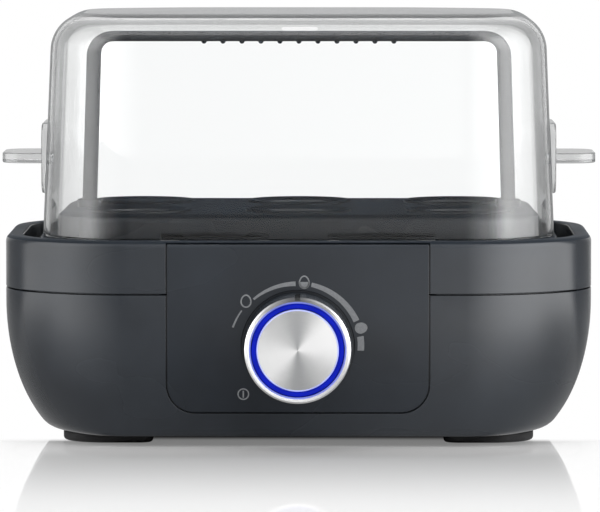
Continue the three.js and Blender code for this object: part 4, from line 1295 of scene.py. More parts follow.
@dataclass
class Collar:
    """The rim, moat, ledge and throat above the seam."""

    plan: Plan
    panel: FrontPanel
    rim_top: float = 70.0
    ledge_top: float = 69.2
    ledge_under: float = 67.0
    step: float = 64.4
    step_under: float = 62.2
    moat: float = 60.0
    moat_under: float = 57.8
    bottom: float = 52.2
    tongue: float = 47.2
    rim_inner: float = 6.0
    moat_outer: float = 6.6
    moat_inner: float = 11.2
    ledge_outer: float = 11.9
    ledge_inner: float = 19.8
    step_outer: float = 20.4
    throat: float = 24.2
    under_step: float = 17.6
    under_ledge: float = 14.0
    under_moat: float = 13.4
    wall: float = 4.4
    tongue_outer: float = 2.8
    gap: Point = (46.65, 30.0, 40.0)

    def outline(self) -> list[Corner]:
        """Draws the section: rim, moat, ledge and step, then back under them.

        Returns:
            Its corners, as (inset, z, fillet).
        """
        return [
            (0.0, self.bottom, 0.3), (0.0, self.rim_top, 2.2), (self.rim_inner, self.rim_top, 0.8),
            (self.moat_outer, self.moat, 1.0), (self.moat_inner, self.moat, 1.0),
            (self.ledge_outer, self.ledge_top, 0.5), (self.ledge_inner, self.ledge_top, 0.6),
            (self.step_outer, self.step, 0.8), (self.throat, self.step, 0.5),
            (self.throat, self.step_under, 0.5), (self.under_step, self.step_under, 0.3),
            (self.under_step, self.ledge_under, 0.8), (self.under_ledge, self.ledge_under, 0.8),
            (self.under_moat, self.moat_under, 0.8), (self.wall, self.moat_under, 0.6),
            (self.wall, self.tongue, 0.3), (self.tongue_outer, self.tongue, 0.3),
            (self.tongue_outer, self.bottom, 0.2),
        ]

    def build(self) -> Piece:
        """Makes the collar, with room for the panel and its backing.

        Returns:
            The finished piece. Its flat top is duller than its sides.
        """
        ring = skin("upper_collar", self.plan.even(filleted(self.outline())), closed=True)
        half, reach, low = self.gap
        front = self.plan.front
        carve(ring, block("gap", (-half, front - OVERCUT, low), (half, front + reach, self.bottom)))
        carve(ring, self.panel.recess())
        shade(dress(ring, DARK))
        repaint(ring, RIM, lambda c, n: c.z > self.rim_top - 1 and n.z > 0.6)
        return seat(ring, "base", Slot.dark_plastic, "rim_collar")


@dataclass
class Underside:
    """The bottom cover with its vents, its screws and the feet."""

    plan: Plan
    form: BaseForm
    thickness: float = 3.0
    edge_gap: float = 3.3
    vents: int = 5
    vent_pitch: float = 12.0
    vent_length: float = 34.0
    vent_width: float = 3.0
    vent_depth: float = 12.0
    vent_low: float = -2.0
    middle: float = 40.0
    head_radius: float = 3.0
    head_height: float = 1.5
    head_share: float = 0.86
    head_sides: int = 32
    shank_radius: float = 1.4
    screw_length: float = 10.0
    screw_gap: float = 0.3
    cross: Point = (3.4, 0.7, 1.4)
    foot: float = 31.0
    foot_bevel: float = 1.2
    foot_corner_share: float = 0.62
    foot_inner_corner: float = 1.2
    foot_side_corner: float = 4.0

    def __post_init__(self) -> None:
        """Finds the screws and the middle of each one's head, on its lower face."""
        self.screws = [f"cover_screw_{number}" for number in (1, 2, 3, 4)]
        self.screw_places = [(*middle_of(node)[:2], box_of(node)[0].z) for node in self.screws]

    def _vent_tool(self) -> Piece:
        """A row of rounded slots, repeated by Geometry Nodes.

        Returns:
            The cutter.
        """
        tree = GeometryTree("vent_row", {
            "Pitch": self.vent_pitch, "Length": self.vent_length,
            "Width": self.vent_width, "Depth": self.vent_depth,
        }, self.vents)
        width, depth = tree.size("Width"), tree.size("Depth")
        box = {"Width": width, "Height": tree.size("Length")}
        slot = tree.node("GeometryNodeCurvePrimitiveQuadrilateral", box, mode="RECTANGLE")
        fillet = {"Curve": slot, "Count": 8, "Radius": width * 0.49, "Limit Radius": True}
        slot = tree.node("GeometryNodeFilletCurve", fillet, mode="POLY")
        slot = tree.node("GeometryNodeFillCurve", {"Curve": slot}, mode="NGONS")
        up = {"Mesh": slot, "Offset": (0.0, 0.0, 1.0), "Offset Scale": depth, "Individual": False}
        body = tree.node("GeometryNodeExtrudeMesh", up, mode="FACES")
        body = tree.join(body, tree.node("GeometryNodeFlipFaces", {"Mesh": slot}))
        body = tree.node("GeometryNodeMergeByDistance", {"Geometry": body, "Distance": 0.01 * MM})
        start = (-(self.vents - 1) / 2 * self.vent_pitch, self.plan.middle_y, self.vent_low)
        return tree.run("vent_tool", tree.row(start), body, BLACK)

    def build_cover(self) -> Piece:
        """Makes the cover with its vents and counterbores.

        Returns:
            The finished piece.
        """
        low, high = self.form.foot_gap, self.form.foot_gap + self.thickness
        edge = [(self.edge_gap, low, 0.5), (self.edge_gap, high, 0.3)]
        outline = filleted([(self.middle, low, 0), *edge, (self.middle, high, 0)])[1:-1]
        cover = skin("bottom_plate", [self.form.toe_ring(self.plan, add_on, z) for add_on, z in outline])
        carve(cover, self._vent_tool())
        head, shank = self.head_radius + self.screw_gap, self.shank_radius + self.screw_gap
        for x, y, z in self.screw_places:
            deep = z + self.head_height + self.screw_gap
            carve(cover, upright("counterbore", [(head, z - OVERCUT), (head, deep)], (x, y), self.head_sides))
            through = [(shank, z), (shank, high + OVERCUT)]
            carve(cover, upright("shank_hole", through, (x, y), self.head_sides))
        shade(dress(cover, BLACK))
        return seat(cover, "base", Slot.black_plastic, "bottom_cover")

    def build_screws(self) -> Piece:
        """Makes the cross-head screws, one head and shank repeated by Geometry Nodes.

        Returns:
            The finished piece.
        """
        tree = GeometryTree("screw_set", {
            "Head Radius": self.head_radius, "Head Height": self.head_height,
            "Shank Radius": self.shank_radius, "Length": self.screw_length,
        })
        radius, height = tree.size("Head Radius"), tree.size("Head Height")
        counts = {"Vertices": self.head_sides, "Side Segments": 1, "Fill Segments": 1}
        cone = {"Radius Top": radius, "Radius Bottom": radius * self.head_share, "Depth": height}
        head = tree.node("GeometryNodeMeshCone", counts | cone)
        long, wide, deep = self.cross
        for wing in ((long, wide, deep), (wide, long, deep)):
            cube = tree.node("GeometryNodeMeshCube", {"Size": tuple(size * MM for size in wing)})
            cut = {"Mesh 1": head, "Mesh 2": cube}
            head = tree.node("GeometryNodeMeshBoolean", cut, operation="DIFFERENCE")
        rise = tree.node("ShaderNodeCombineXYZ", {2: tree.size("Length") * 0.5 + height})
        shank = {"Geometry": tree.rod("Shank Radius", "Length"), "Translation": rise}
        both = tree.join(tree.node("GeometryNodeTransform", shank), head)
        screws = shade(tree.run("cover_screws", tree.size("Geometry"), both, STEEL, self.screw_places))
        return seat(screws, "base", Slot.steel, *self.screws)

    def build_feet(self) -> None:
        """The four pads, each with a large outer corner and a rolled tread edge."""
        bevel, top = self.foot_bevel, self.form.foot_gap
        turns = [math.radians(15 * i) for i in range(7)]
        levels = [(bevel * (1 - math.sin(a)), bevel * (1 - math.cos(a))) for a in turns]
        levels += [(0.0, top - 0.75), (0.12, top - 0.45), (0.3, top - 0.3)]
        for row, sign_y in (("front", -1), ("rear", 1)):
            for side, sign_x in (("left", -1), ("right", 1)):
                node = f"foot_{row}_{side}"
                centre = middle_of(node)
                rings = [self._foot_ring(centre, (sign_x, sign_y), inset, z) for inset, z in levels]
                foot = skin(f"pad_{row}_{side}", rings)
                shade(dress(foot, RUBBER))
                seat(foot, "base", Slot.rubber, node)

    def _foot_ring(self, centre: Point, outwards: tuple[int, int], inset: float, z: float) -> Ring:
        """One ring of a pad.

        Args:
            centre: The pad's middle.
            outwards: The signs of X and Y that lead away from the base's middle.
            inset: How far the ring is drawn in.
            z: Its height.
        Returns:
            The ring's points.
        """
        half = self.foot / 2 - inset
        inner, side, outer = self.foot_inner_corner, self.foot_side_corner, half * 2 * self.foot_corner_share
        corners = [(-half, -half, inner), (half, -half, side), (half, half, outer), (-half, half, side)]
        outline = filleted(corners, steps=10)
        return [(centre[0] + outwards[0] * x, centre[1] + outwards[1] * y, z) for x, y in outline]


@dataclass
class Pan:
    """The boiling pan of drawn sheet steel."""

    plan: Plan
    wall: float = 26.9
    slope: float = 4.0
    sheet: float = 1.0
    flange_top: float = 59.7
    floor: float = 47.0
    flange_outer: float = 18.5
    bend: float = 2.4
    middle: float = 60.0

    def build(self) -> Piece:
        """Makes the dish: flange, sloped wall, rounded bend and flat floor.

        Returns:
            The finished piece.
        """
        foot, bend = self.wall + self.slope, self.bend
        floor_under, flange_under = self.floor - self.sheet, self.flange_top - self.sheet
        outline = filleted([
            (self.middle, floor_under, 0), (foot - 0.6, floor_under, bend + 1),
            (self.wall - self.sheet, flange_under, bend / 2), (self.flange_outer, flange_under, 0),
            (self.flange_outer, self.flange_top, 0), (self.wall, self.flange_top, bend),
            (foot, self.floor, bend), (self.middle, self.floor, 0),
        ], closed=False, steps=7)[1:-1]
        dish = shade(dress(skin("pan_dish", self.plan.even(outline)), STEEL))
        return seat(dish, "base", Slot.steel, "boiling_pan")


# Dial marks


@dataclass(frozen=True)
class Band:
    """A band of the scale round the knob, with its ends and its width at each."""

    start: Flat
    end: Flat
    widths: Flat


@dataclass(frozen=True)
class EggSign:
    """An egg sign, turned by degrees and filled by a share of its height from its blunt end."""

    centre: Flat
    size: Flat
    turn: float = 0.0
    fill: float = 0.0


@dataclass
class DialMarks:
    """The printed scale round the knob: bands, egg signs and the standby sign, as a thin layer on the panel.

    Places and sizes of the marks are in points of the picture, of which distance and focal give the size.
    """

    panel: FrontPanel
    distance: float = 1934.0
    focal: float = 5747.0
    eye_height: float = 197.3
    eye_level: float = -137.0
    centre: Flat = (298.6, 349.0)
    thickness: float = 0.05
    line: float = 1.4
    steps: int = 40
    marks: tuple[Band | EggSign, ...] = (
        Band((233.4, 327.5), (242.3, 310.5), (2.0, 1.3)),
        EggSign((246.6, 301.0), (11.2, 13.4)),
        Band((254.2, 299.2), (296.3, 283.6), (2.2, 4.7)),
        EggSign((305.0, 282.0), (11.0, 13.6), fill=0.52),
        Band((312.2, 284.6), (357.3, 321.0), (4.4, 6.2)),
        EggSign((362.0, 328.0), (11.2, 12.8), turn=80, fill=1.0),
        Band((361.2, 336.6), (361.6, 350.8), (6.6, 6.6)),
    )
    standby_centre: Flat = (243.8, 395.0)
    standby_radius: float = 5.9
    standby_line: float = 1.2
    standby_bar: tuple[Flat, Flat] = ((243.1, 391.6), (244.5, 398.6))
    strips: list[tuple[list[Flat], list[Flat], bool]] = field(default_factory=list)

    def spot(self, across: float, down: float) -> Flat:
        """Where a point of the picture lies on the panel, as x and z."""
        scale = self.distance / self.focal
        return ((across - self.centre[0]) * scale, self.eye_height - (down - self.eye_level) * scale)

    def _add_band(self, band: Band) -> None:
        """Adds a band round the knob.

        Args:
            band: The band.
        """
        middle_x, middle_y = self.centre
        start_width, end_width = band.widths
        first, last = (math.atan2(p[1] - middle_y, p[0] - middle_x) for p in (band.start, band.end))
        near, far = (math.dist(p, self.centre) for p in (band.start, band.end))
        inner, outer = [], []
        for i in range(self.steps + 1):
            t = i / self.steps
            angle, radius = first + (last - first) * t, near + (far - near) * t
            half = (start_width + (end_width - start_width) * t) / 2
            for side, r in ((inner, radius - half), (outer, radius + half)):
                side.append(self.spot(middle_x + r * math.cos(angle), middle_y + r * math.sin(angle)))
        self.strips.append((inner, outer, False))

    def _add_egg(self, sign: EggSign) -> None:
        """Adds an egg sign.

        Args:
            sign: The sign.
        """
        def edge(angle: float, inset: float) -> Flat:
            """Finds a point of the sign's outline.

            Args:
                angle: Where it is on the outline.
                inset: How far the outline is drawn in.
            Returns:
                Its x and z on the panel.
            """
            wide = (sign.size[0] / 2 - inset) * (1 + 0.1 * math.sin(angle))
            x, y = wide * math.cos(angle), (sign.size[1] / 2 - inset) * math.sin(angle)
            c, s = math.cos(math.radians(sign.turn)), math.sin(math.radians(sign.turn))
            return self.spot(sign.centre[0] + x * c - y * s, sign.centre[1] + x * s + y * c)

        angles = [2 * math.pi * i / self.steps for i in range(self.steps)]
        self.strips.append(([edge(a, 0) for a in angles], [edge(a, self.line) for a in angles], True))
        if sign.fill > 0:
            start, half = math.asin(1 - 2 * sign.fill), self.line / 2
            rows = [start + (math.pi / 2 - start) * i / 12 for i in range(13)]
            left, right = [edge(a, half) for a in rows], [edge(math.pi - a, half) for a in rows]
            self.strips.append((left, right, False))

    def _add_standby(self) -> None:
        """Adds the standby sign, a ring with an upright bar in it."""
        radii = (self.standby_radius, self.standby_radius - self.standby_line)
        outer, inner = (arc(self.standby_centre, r, 0, 360, self.steps)[:-1] for r in radii)
        self.strips.append(([self.spot(*p) for p in outer], [self.spot(*p) for p in inner], True))
        low, high = self.standby_bar
        left, right = ([self.spot(x, low[1]), self.spot(x, high[1])] for x in (low[0], high[0]))
        self.strips.append((left, right, False))

    def build(self) -> Piece:
        """Prints all the marks, clockwise from the left, and the standby sign below.

        Returns:
            The finished piece.
        """
        for mark in self.marks:
            if isinstance(mark, Band):
                self._add_band(mark)
            else:
                self._add_egg(mark)
        self._add_standby()
        points, faces = [], []
        for first, second, closed in self.strips:
            self._layer(first, second, closed, points, faces)
        return seat(dress(piece_of("dial_marks", points, faces), INK), "base", Slot.panel_plastic)

    def _layer(self, first: list[Flat], second: list[Flat], closed: bool, points: list, faces: list) -> None:
        """Adds one strip as a thin closed layer.

        Args:
            first: One edge of the strip.
            second: Its other edge.
            closed: Whether it closes on itself.
            points: The points so far, which it adds to.
            faces: The faces so far, which it adds to.
        """
        count, top = len(first), len(points)
        for lift in (-self.thickness, self.thickness):
            points += [(x, self.panel.surface_y(z, lift), z) for x, z in first + second]
        under = top + 2 * count
        for i in range(count if closed else count - 1):
            j = (i + 1) % count
            faces += [(low + i, low + j, low + count + j, low + count + i) for low in (top, under)]
            faces += [(top + k + i, top + k + j, under + k + j, under + k + i) for k in (0, count)]
        if not closed:
            faces += [(top + i, top + count + i, under + count + i, under + i) for i in (0, count - 1)]


# Knob


@dataclass
class Knob:
    """The lit knob: a dark skirt, a satin ring, the blue guide and the spun face."""

    radius: float = 18.4
    length: float = 14.9
    taper: float = 0.5
    wall: float = 2.6
    ring_slope: float = 0.62
    guide_outer: float = 15.5
    guide_inner: float = 14.1
    guide_recess: float = 0.35
    guide_flange: float = 1.4
    face_radius: float = 13.8
    face_thickness: float = 1.2
    notch_width: float = 1.7
    notch_depth: float = 1.1
    sides: int = 128
    centre: Flat = (0.0, KNOB_HEIGHT)

    def build(self) -> None:
        """All the knob's visible pieces."""
        self.front = box_of("knob_bezel")[0].y
        self.back = self.front + self.length
        self._bezel()
        self._pointer()
        self._guide()
        self._face()

    def _from_axis(self, place: Vector) -> float:
        """The distance of a place from the knob's axis."""
        return math.hypot(place.x - self.centre[0], place.z - self.centre[1])

    @property
    def notch_bottom(self) -> float:
        """The height of the pointer's notch at the tapered front."""
        return self.centre[1] + self.radius - self.notch_depth - self.taper

    def _bezel(self) -> None:
        """The skirt with its front ring, notched for the pointer."""
        front, back, slope = self.front, self.back, self.ring_slope
        mouth, inner = self.radius - self.taper, self.radius - self.wall
        outline = filleted([
            (inner, back, 0.2), (self.radius, back, 0.3), (self.radius, (front + back) / 2, 0),
            (mouth, front + 0.5, 0.3), (mouth - 0.5, front, 0.3),
            (inner + slope, front, 0.15), (inner + 0.02, front + 0.75, 0.1),
        ])
        bezel = lathe("knob_skirt", outline, self.centre, self.sides)
        half, above = self.notch_width / 2, self.centre[1] + self.radius + OVERCUT
        carve(bezel, block("notch", (-half, front - OVERCUT, self.notch_bottom), (half, back - 1.2, above)))
        shade(dress(bezel, DARK), 28)
        # Painted reflections on the satin ring.
        repaint(bezel, SATIN, lambda c, n: c.y < front + slope and n.y < -0.25)
        depth, radius = front + 0.78, inner + slope
        # Painted light: the bezel's inner edge glows blue as if lit by the guide.
        repaint(bezel, PAINTED_RIM_GLOW, lambda c, n: c.y < depth and self._from_axis(c) < radius and n.y < -0.2)
        seat(bezel, "knob", Slot.aluminium, "knob_bezel")

    def _pointer(self) -> None:
        """A black piece low in the notch: a dark thing put where the notch is in shade."""
        half, low, play = self.notch_width / 2 - 0.06, self.notch_bottom - 0.2, 0.12
        high = self.centre[1] + self.radius - self.notch_depth + 0.35
        # Painted shade: this black piece stands in for the shadow in the notch.
        shade_inlay = block("knob_pointer_shade", (-half, self.front + play, low), (half, self.back - 1.3, high))
        rounded_edges(shade_inlay, play, 2)
        shade(dress(shade_inlay, BLACK))
        seat(shade_inlay, "knob", Slot.black_plastic)

    def _guide(self) -> None:
        """The light guide with a softly crowned front."""
        front, back, flange = self.front + self.guide_recess, self.back, self.guide_flange
        foot = self.guide_inner - flange
        outline = filleted([
            (foot, back, 0), (self.guide_outer, back, 0), (self.guide_outer, front, 0.5),
            (self.guide_inner, front, 0.5), (self.guide_inner, back - flange, 0), (foot, back - flange, 0),
        ])
        guide = shade(dress(lathe("light_guide", outline, self.centre, self.sides), BLUE))
        seat(guide, "knob", Slot.blue_light, "light_ring")

    def _face(self) -> None:
        """The spun face, with the guide's blue light painted as glow on its turned-down edge."""
        front, back, radius = self.front, self.front + self.face_thickness, self.face_radius
        edge = filleted([
            (0.0, front, 0), (radius - 0.35, front, 0.25), (radius, front + 0.45, 0.2), (radius, back, 0),
            (0.0, back, 0),
        ], closed=False)
        steps = [(radius * share, front) for share in (0.25, 0.5, 0.75)]
        face = lathe("spun_face", [edge[0], *steps, *edge[1:]], self.centre, self.sides)
        # Painted reflections on the spun face.
        shade(dress(face, SPUN), 40)
        # Painted light: the face's edge glows blue as if lit by the guide.
        repaint(face, PAINTED_FACE_GLOW, lambda c, n: self._from_axis(c) > radius - 0.5 and n.y < -0.1)
        seat(face, "knob", Slot.aluminium, "knob_face")


# Tray


@dataclass
class CarryBow:
    """The bow over the tray, with ribs under its bar for the fingers."""

    plan: Plan
    half: float = 74.0
    splay: float = 1.6
    top: float = 139.8
    bottom: float = 78.3
    bar: float = 4.1
    leg: float = 5.0
    depth: float = 7.6
    corner: float = 9.5
    edge: float = 1.3
    ribs: int = 11
    rib_pitch: float = 6.6
    rib_radius: float = 0.9
    rib_depth_share: float = 0.8

    @property
    def leg_x(self) -> float:
        """Where the legs stand on the tray."""
        return self.half + self.splay - self.leg / 2

    def outline(self) -> list[Flat]:
        """The bow's outline.

        Returns:
            Points of (x, z), over the outside and back along the inside.
        """
        foot, corner, inner_corner = self.half + self.splay, self.corner, self.corner - self.leg
        outer = [(foot, self.bottom)] + arc((self.half - corner, self.top - corner), corner, 0, 90, 14)
        middle = (inner_corner - (self.half - self.leg), self.top - self.bar - inner_corner)
        inner = [(self.leg - foot, self.bottom)] + arc(middle, inner_corner, 180, 90, 14)
        return [point for side in (outer, inner) for point in side + [(-x, z) for x, z in reversed(side)]]

    def build(self) -> Piece:
        """Makes the bow and its ribs as one piece.

        Returns:
            The finished piece.
        """
        middle, half = self.plan.middle_y, self.depth / 2
        bow = front_prism("bow_body", self.outline(), middle - half, middle + half)
        rounded_edges(bow, self.edge, 6)
        made = joined("carrying_bow", [dress(bow, BOW), self._ribs()])
        shade(dress(made, BOW))
        return seat(made, "tray", Slot.dark_plastic, "carry_handle")

    def _ribs(self) -> Piece:
        """Half-round ribs along the bar, repeated by Geometry Nodes.

        Returns:
            The ribs.
        """
        tree = GeometryTree("rib_row", {
            "Pitch": self.rib_pitch, "Radius": self.rib_radius, "Length": self.depth * self.rib_depth_share,
        }, self.ribs)
        lying = {"Geometry": tree.rod("Radius", "Length"), "Rotation": (math.pi / 2, 0.0, 0.0)}
        start = (-(self.ribs - 1) / 2 * self.rib_pitch, self.plan.middle_y, self.top - self.bar)
        return tree.run("rib_row", tree.row(start), tree.node("GeometryNodeTransform", lying), BOW)


@dataclass
class Tray:
    """The egg tray: a plate on a skirt, six chamfered holes and sockets for the bow."""

    plan: Plan
    bow: CarryBow
    outer: float = 17.8
    bottom: float = 69.5
    top: float = 78.0
    shoulder: float = 3.0
    wall: float = 2.0
    skirt_bottom: float = 71.8
    foot_length: float = 20.0
    hole_radius: float = 16.5
    hole_chamfer: float = 1.4
    rim_height: float = 0.9
    rim_width: float = 1.6
    pitch: float = 55.0
    row_pitch: float = 26.0
    socket_play: float = 0.3
    socket_wall: float = 1.6
    socket_height: float = 2.4
    middle: float = 60.0

    def build(self) -> Piece:
        """Makes the tray.

        Returns:
            The finished piece. Its flat faces are duller than its skirt.
        """
        under, wall = self.top - self.wall, self.outer + self.wall
        section = filleted([
            (self.middle, self.top, 0), (self.outer, self.top, self.shoulder), (self.outer, self.bottom, 0.3),
            (wall, self.bottom, 0.3), (wall, under, self.shoulder / 2), (self.middle, under, 0),
        ], closed=False, steps=8)[1:-1]
        tray = skin("tray_plate", self.plan.even(section))
        holes = [
            (column * self.pitch, self.plan.middle_y + row * self.row_pitch)
            for column in (-1, 0, 1) for row in (-1, 1)
        ]
        for hole in holes:
            carve(tray, upright("rim", self._rim(), hole), "UNION")
        self._add_sockets(tray)
        for hole in holes:
            carve(tray, upright("hole", self._hole(), hole))
        self._cut_feet(tray)
        shade(dress(tray, SKIRT))
        repaint(tray, TRAY, lambda c, n: n.z > 0.6)
        return seat(tray, "tray", Slot.dark_plastic, "egg_tray")

    def _rim(self) -> list[Flat]:
        """Draws the raised rim of a hole, as a solid disc.

        Returns:
            The disc's outline, as (radius, z).
        """
        low, high = self.top - self.wall + 0.5, self.top + self.rim_height
        radius = self.hole_radius + self.rim_width
        return [(0.0, low), (radius, low), (radius, high - 0.4), (radius - 0.4, high), (0.0, high)]

    def _hole(self) -> list[Flat]:
        """Draws the cutter of a hole with its chamfer.

        Returns:
            The cutter's outline, as (radius, z).
        """
        low, high, wide = self.top - self.wall - OVERCUT, self.top + self.rim_height, self.hole_radius
        narrow, chamfer = wide - self.hole_chamfer, high - self.hole_chamfer
        return [
            (0.0, low), (narrow, low), (narrow, chamfer - 0.5), (narrow + 0.35, chamfer + 0.1),
            (wide - 0.1, high - 0.3), (wide + 0.15, high),
            (wide + 0.15, high + OVERCUT), (0.0, high + OVERCUT),
        ]

    def _add_sockets(self, tray: Piece) -> None:
        """Stands both of the bow's sockets on the tray and hollows them.

        Args:
            tray: The tray.
        """
        half_x, half_y = self.bow.leg / 2 + self.socket_play, self.bow.depth / 2 + self.socket_play
        high, middle = self.top + self.socket_height, self.plan.middle_y
        places = (-self.bow.leg_x, self.bow.leg_x)
        for x in places:
            carve(tray, self._socket(x, half_x + self.socket_wall, half_y + self.socket_wall, high), "UNION")
        for x in places:
            low, end = (x - half_x, middle - half_y, self.top), (x + half_x, middle + half_y, high + OVERCUT)
            carve(tray, block("socket_hole", low, end))

    def _socket(self, x: float, half_x: float, half_y: float, high: float) -> Piece:
        """One socket's block with rounded upright edges and a soft top.

        Args:
            x: Its middle.
            half_x: Half its width.
            half_y: Half its depth.
            high: Its top.
        Returns:
            The block, still solid.
        """
        middle, low = self.plan.middle_y, self.top - self.wall + 0.4
        rings = []
        for inset, z in ((0.0, low), (0.0, high - 0.5), (0.15, high - 0.15), (0.5, high)):
            first = (x - half_x + inset, middle - half_y + inset)
            last = (x + half_x - inset, middle + half_y - inset)
            rings.append([(a, b, z) for a, b in rounded_box(first, last, 1.2, 4)])
        return skin("socket", rings)

    def _cut_feet(self, tray: Piece) -> None:
        """Cuts the skirt away between the feet.

        Args:
            tray: The tray.
        """
        plan, half, low, high = self.plan, self.foot_length / 2, self.bottom - OVERCUT, self.skirt_bottom
        reach_x, reach_y = plan.half_x - self.outer + OVERCUT, plan.half_y - self.outer + OVERCUT
        end_x, end_y = plan.half_x - plan.corner - half, plan.half_y - plan.corner - half
        for ends in ((-end_x, -half), (half, end_x)):
            lowest = (ends[0], plan.middle_y - reach_y, low)
            carve(tray, block("gap", lowest, (ends[1], plan.middle_y + reach_y, high)))
        lowest, highest = (-reach_x, plan.middle_y - end_y, low), (reach_x, plan.middle_y + end_y, high)
        carve(tray, block("gap", lowest, highest))


# Lid


@dataclass
class Lid:
    """The clear lid with the vent in its rear wall and a handle at each end."""

    plan: Plan
    outer: float = 12.8
    wall: float = 2.0
    bottom: float = 69.5
    top: float = 146.0
    crown: float = 1.0
    draft: float = 2.7
    top_radius: float = 13.0
    vent_width: float = 13.0
    vent_height: float = 2.6
    vent_drop: float = 5.5
    grip_centre: float = 95.5
    plate_height: float = 24.4
    plate_width: float = 38.0
    plate_thickness: float = 1.2
    plate_radius: float = 5.0
    tab_thickness: float = 3.5
    tab_width: float = 34.0
    tab_radius: float = 8.0
    tab_reach: float = 14.8
    tab_edge: float = 0.45

    def rings(self, inset: float, bottom: float, top: float, lip: bool = False) -> list[Ring]:
        """Rings of the lid's outer or inner surface, from its mouth to near the middle of its crown.

        Args:
            inset: How far the surface lies inside the outer one.
            bottom: Its lowest height.
            top: Its height where the crown begins.
            lip: Whether its mouth is rounded.
        Returns:
            The rings.
        """
        radius, base = self.top_radius - inset, self.outer + inset
        rounded = [(base + 0.35, bottom), (base + 0.1, bottom + 0.12), (base, bottom + 0.4)]
        outline = rounded if lip else [(base, bottom)]
        outline += [(base + self.draft * t, bottom + (top - radius - bottom) * t) for t in (0.25, 0.5, 0.75)]
        turns = [math.pi / 2 * step / 12 for step in range(13)]
        bend = base + self.draft
        outline += [(bend + radius * (1 - math.cos(a)), top - radius * (1 - math.sin(a))) for a in turns]
        made = self.plan.even(outline)
        edge, middle = made[-1], self.plan.middle_y
        for share in (0.93, 0.82, 0.66, 0.45, 0.22, 0.06):
            lift = self.crown * (1 - share * share)
            made.append([(x * share, middle + (y - middle) * share, z + lift) for x, y, z in edge])
        return made

    def build(self) -> None:
        """The shell and both handles."""
        self._shell()
        for side, name in ((1, "right"), (-1, "left")):
            self._grip(side, name)

    def _shell(self) -> None:
        """The shell. Its inner faces and flat top have clear finishes with less painted grey shade."""
        shell = skin("clear_lid", self.rings(0.0, self.bottom, self.top, lip=True))
        carve(shell, skin("hollow", self.rings(self.wall, self.bottom - OVERCUT, self.top - self.wall)))
        z, half_x, half_z = self.top - self.vent_drop, self.vent_width / 2, self.vent_height / 2
        slot = rounded_box((-half_x, z - half_z), (half_x, z + half_z), half_z * 0.98)
        carve(shell, front_prism("vent", slot, self.plan.middle_y + 20, self.plan.back))
        shade(dress(shell, CLEAR), 40)
        middle = Vector((0.0, self.plan.middle_y, (self.bottom + self.top) / 2))
        repaint(shell, CLEAR_INSIDE, lambda c, n: n.dot(c - middle) < 0)
        repaint(shell, CLEAR_TOP, lambda c, n: n.dot(c - middle) > 0 and n.z > 0.985)
        seat(shell, "lid", Slot.clear_plastic, "lid_shell")

    def _grip(self, side: int, name: str) -> None:
        """One handle: a plate that follows the wall, and a flat tab.

        Args:
            side: The sign of X on its side.
            name: The name of its side.
        """
        wall_x, middle, height = self.plan.half_x - self.outer, self.plan.middle_y, self.grip_centre
        rise, half = self.plate_height / 2, self.plate_width / 2
        start, outer = wall_x - self.draft - self.plate_thickness, wall_x - 0.3 + self.plate_thickness
        shape = rounded_box((middle - half, height - rise), (middle + half, height + rise), self.plate_radius)
        rings = []
        for x, inset in ((start, 0.0), (outer - 0.7, 0.0), (outer - 0.2, 0.2), (outer, 0.7)):
            wide, high = 1 - inset / half, 1 - inset / rise
            rings.append([
                (side * x, middle + (y - middle) * wide, height + (z - height) * high) for y, z in shape
            ])
        grip = skin(f"grip_{name}", rings)
        carve(grip, rounded_edges(self._tab(side, wall_x), self.tab_edge), "UNION")
        carve(grip, skin("behind", self.rings(-0.3, self.bottom, self.top)))
        # Painted shade: the grip's finish mixes a grey in all over.
        shade(dress(grip, GRIP), 40)
        seat(grip, "lid", Slot.clear_plastic, f"lid_handle_{name}")

    def _tab(self, side: int, wall_x: float) -> Piece:
        """A handle's flat tab.

        Args:
            side: The sign of X on its side.
            wall_x: Where the lid's wall stands at its foot.
        Returns:
            The tab with square edges.
        """
        middle, half = self.plan.middle_y, self.tab_width / 2
        start, end = wall_x - self.draft, wall_x + self.tab_reach
        corners = [
            (start, middle - half, 0), (end, middle - half, self.tab_radius),
            (end, middle + half, self.tab_radius), (start, middle + half, 0),
        ]
        low, high = self.grip_centre - self.tab_thickness / 2, self.grip_centre + self.tab_thickness / 2
        return upright_prism("tab", [(side * x, y) for x, y in filleted(corners, steps=12)], low, high)


# Carried-over nodes


@dataclass
class Interior:
    """The CAD nodes that stay as they are, each dressed by its material slot."""

    shown: dict[str, str]

    @classmethod
    def of_record(cls) -> "Interior":
        """Reads each node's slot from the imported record."""
        return cls({part["node"]: part["material_slot"] for part in frame["record"]["subparts"]})

    def dress(self) -> None:
        """Assigns a finish to every CAD node that still shows."""
        for node, slot in self.shown.items():
            piece = frame["nodes"][node]
            if not piece.hide_render:
                dress(piece, Slot[slot].value)
                LOG.info("%s keeps its CAD form in %s", node, slot)


# Studio


@dataclass(frozen=True)
class SoftBox:
    """A tall soft box that glossy surfaces mirror, by its angles from the front towards one side."""

    side: float
    start: float
    full: float
    end: float
    power: float


@dataclass(frozen=True)
class Lamp:
    """A soft box that lights the object, but that nothing mirrors."""

    name: str
    place: Point
    size: Flat
    power: float


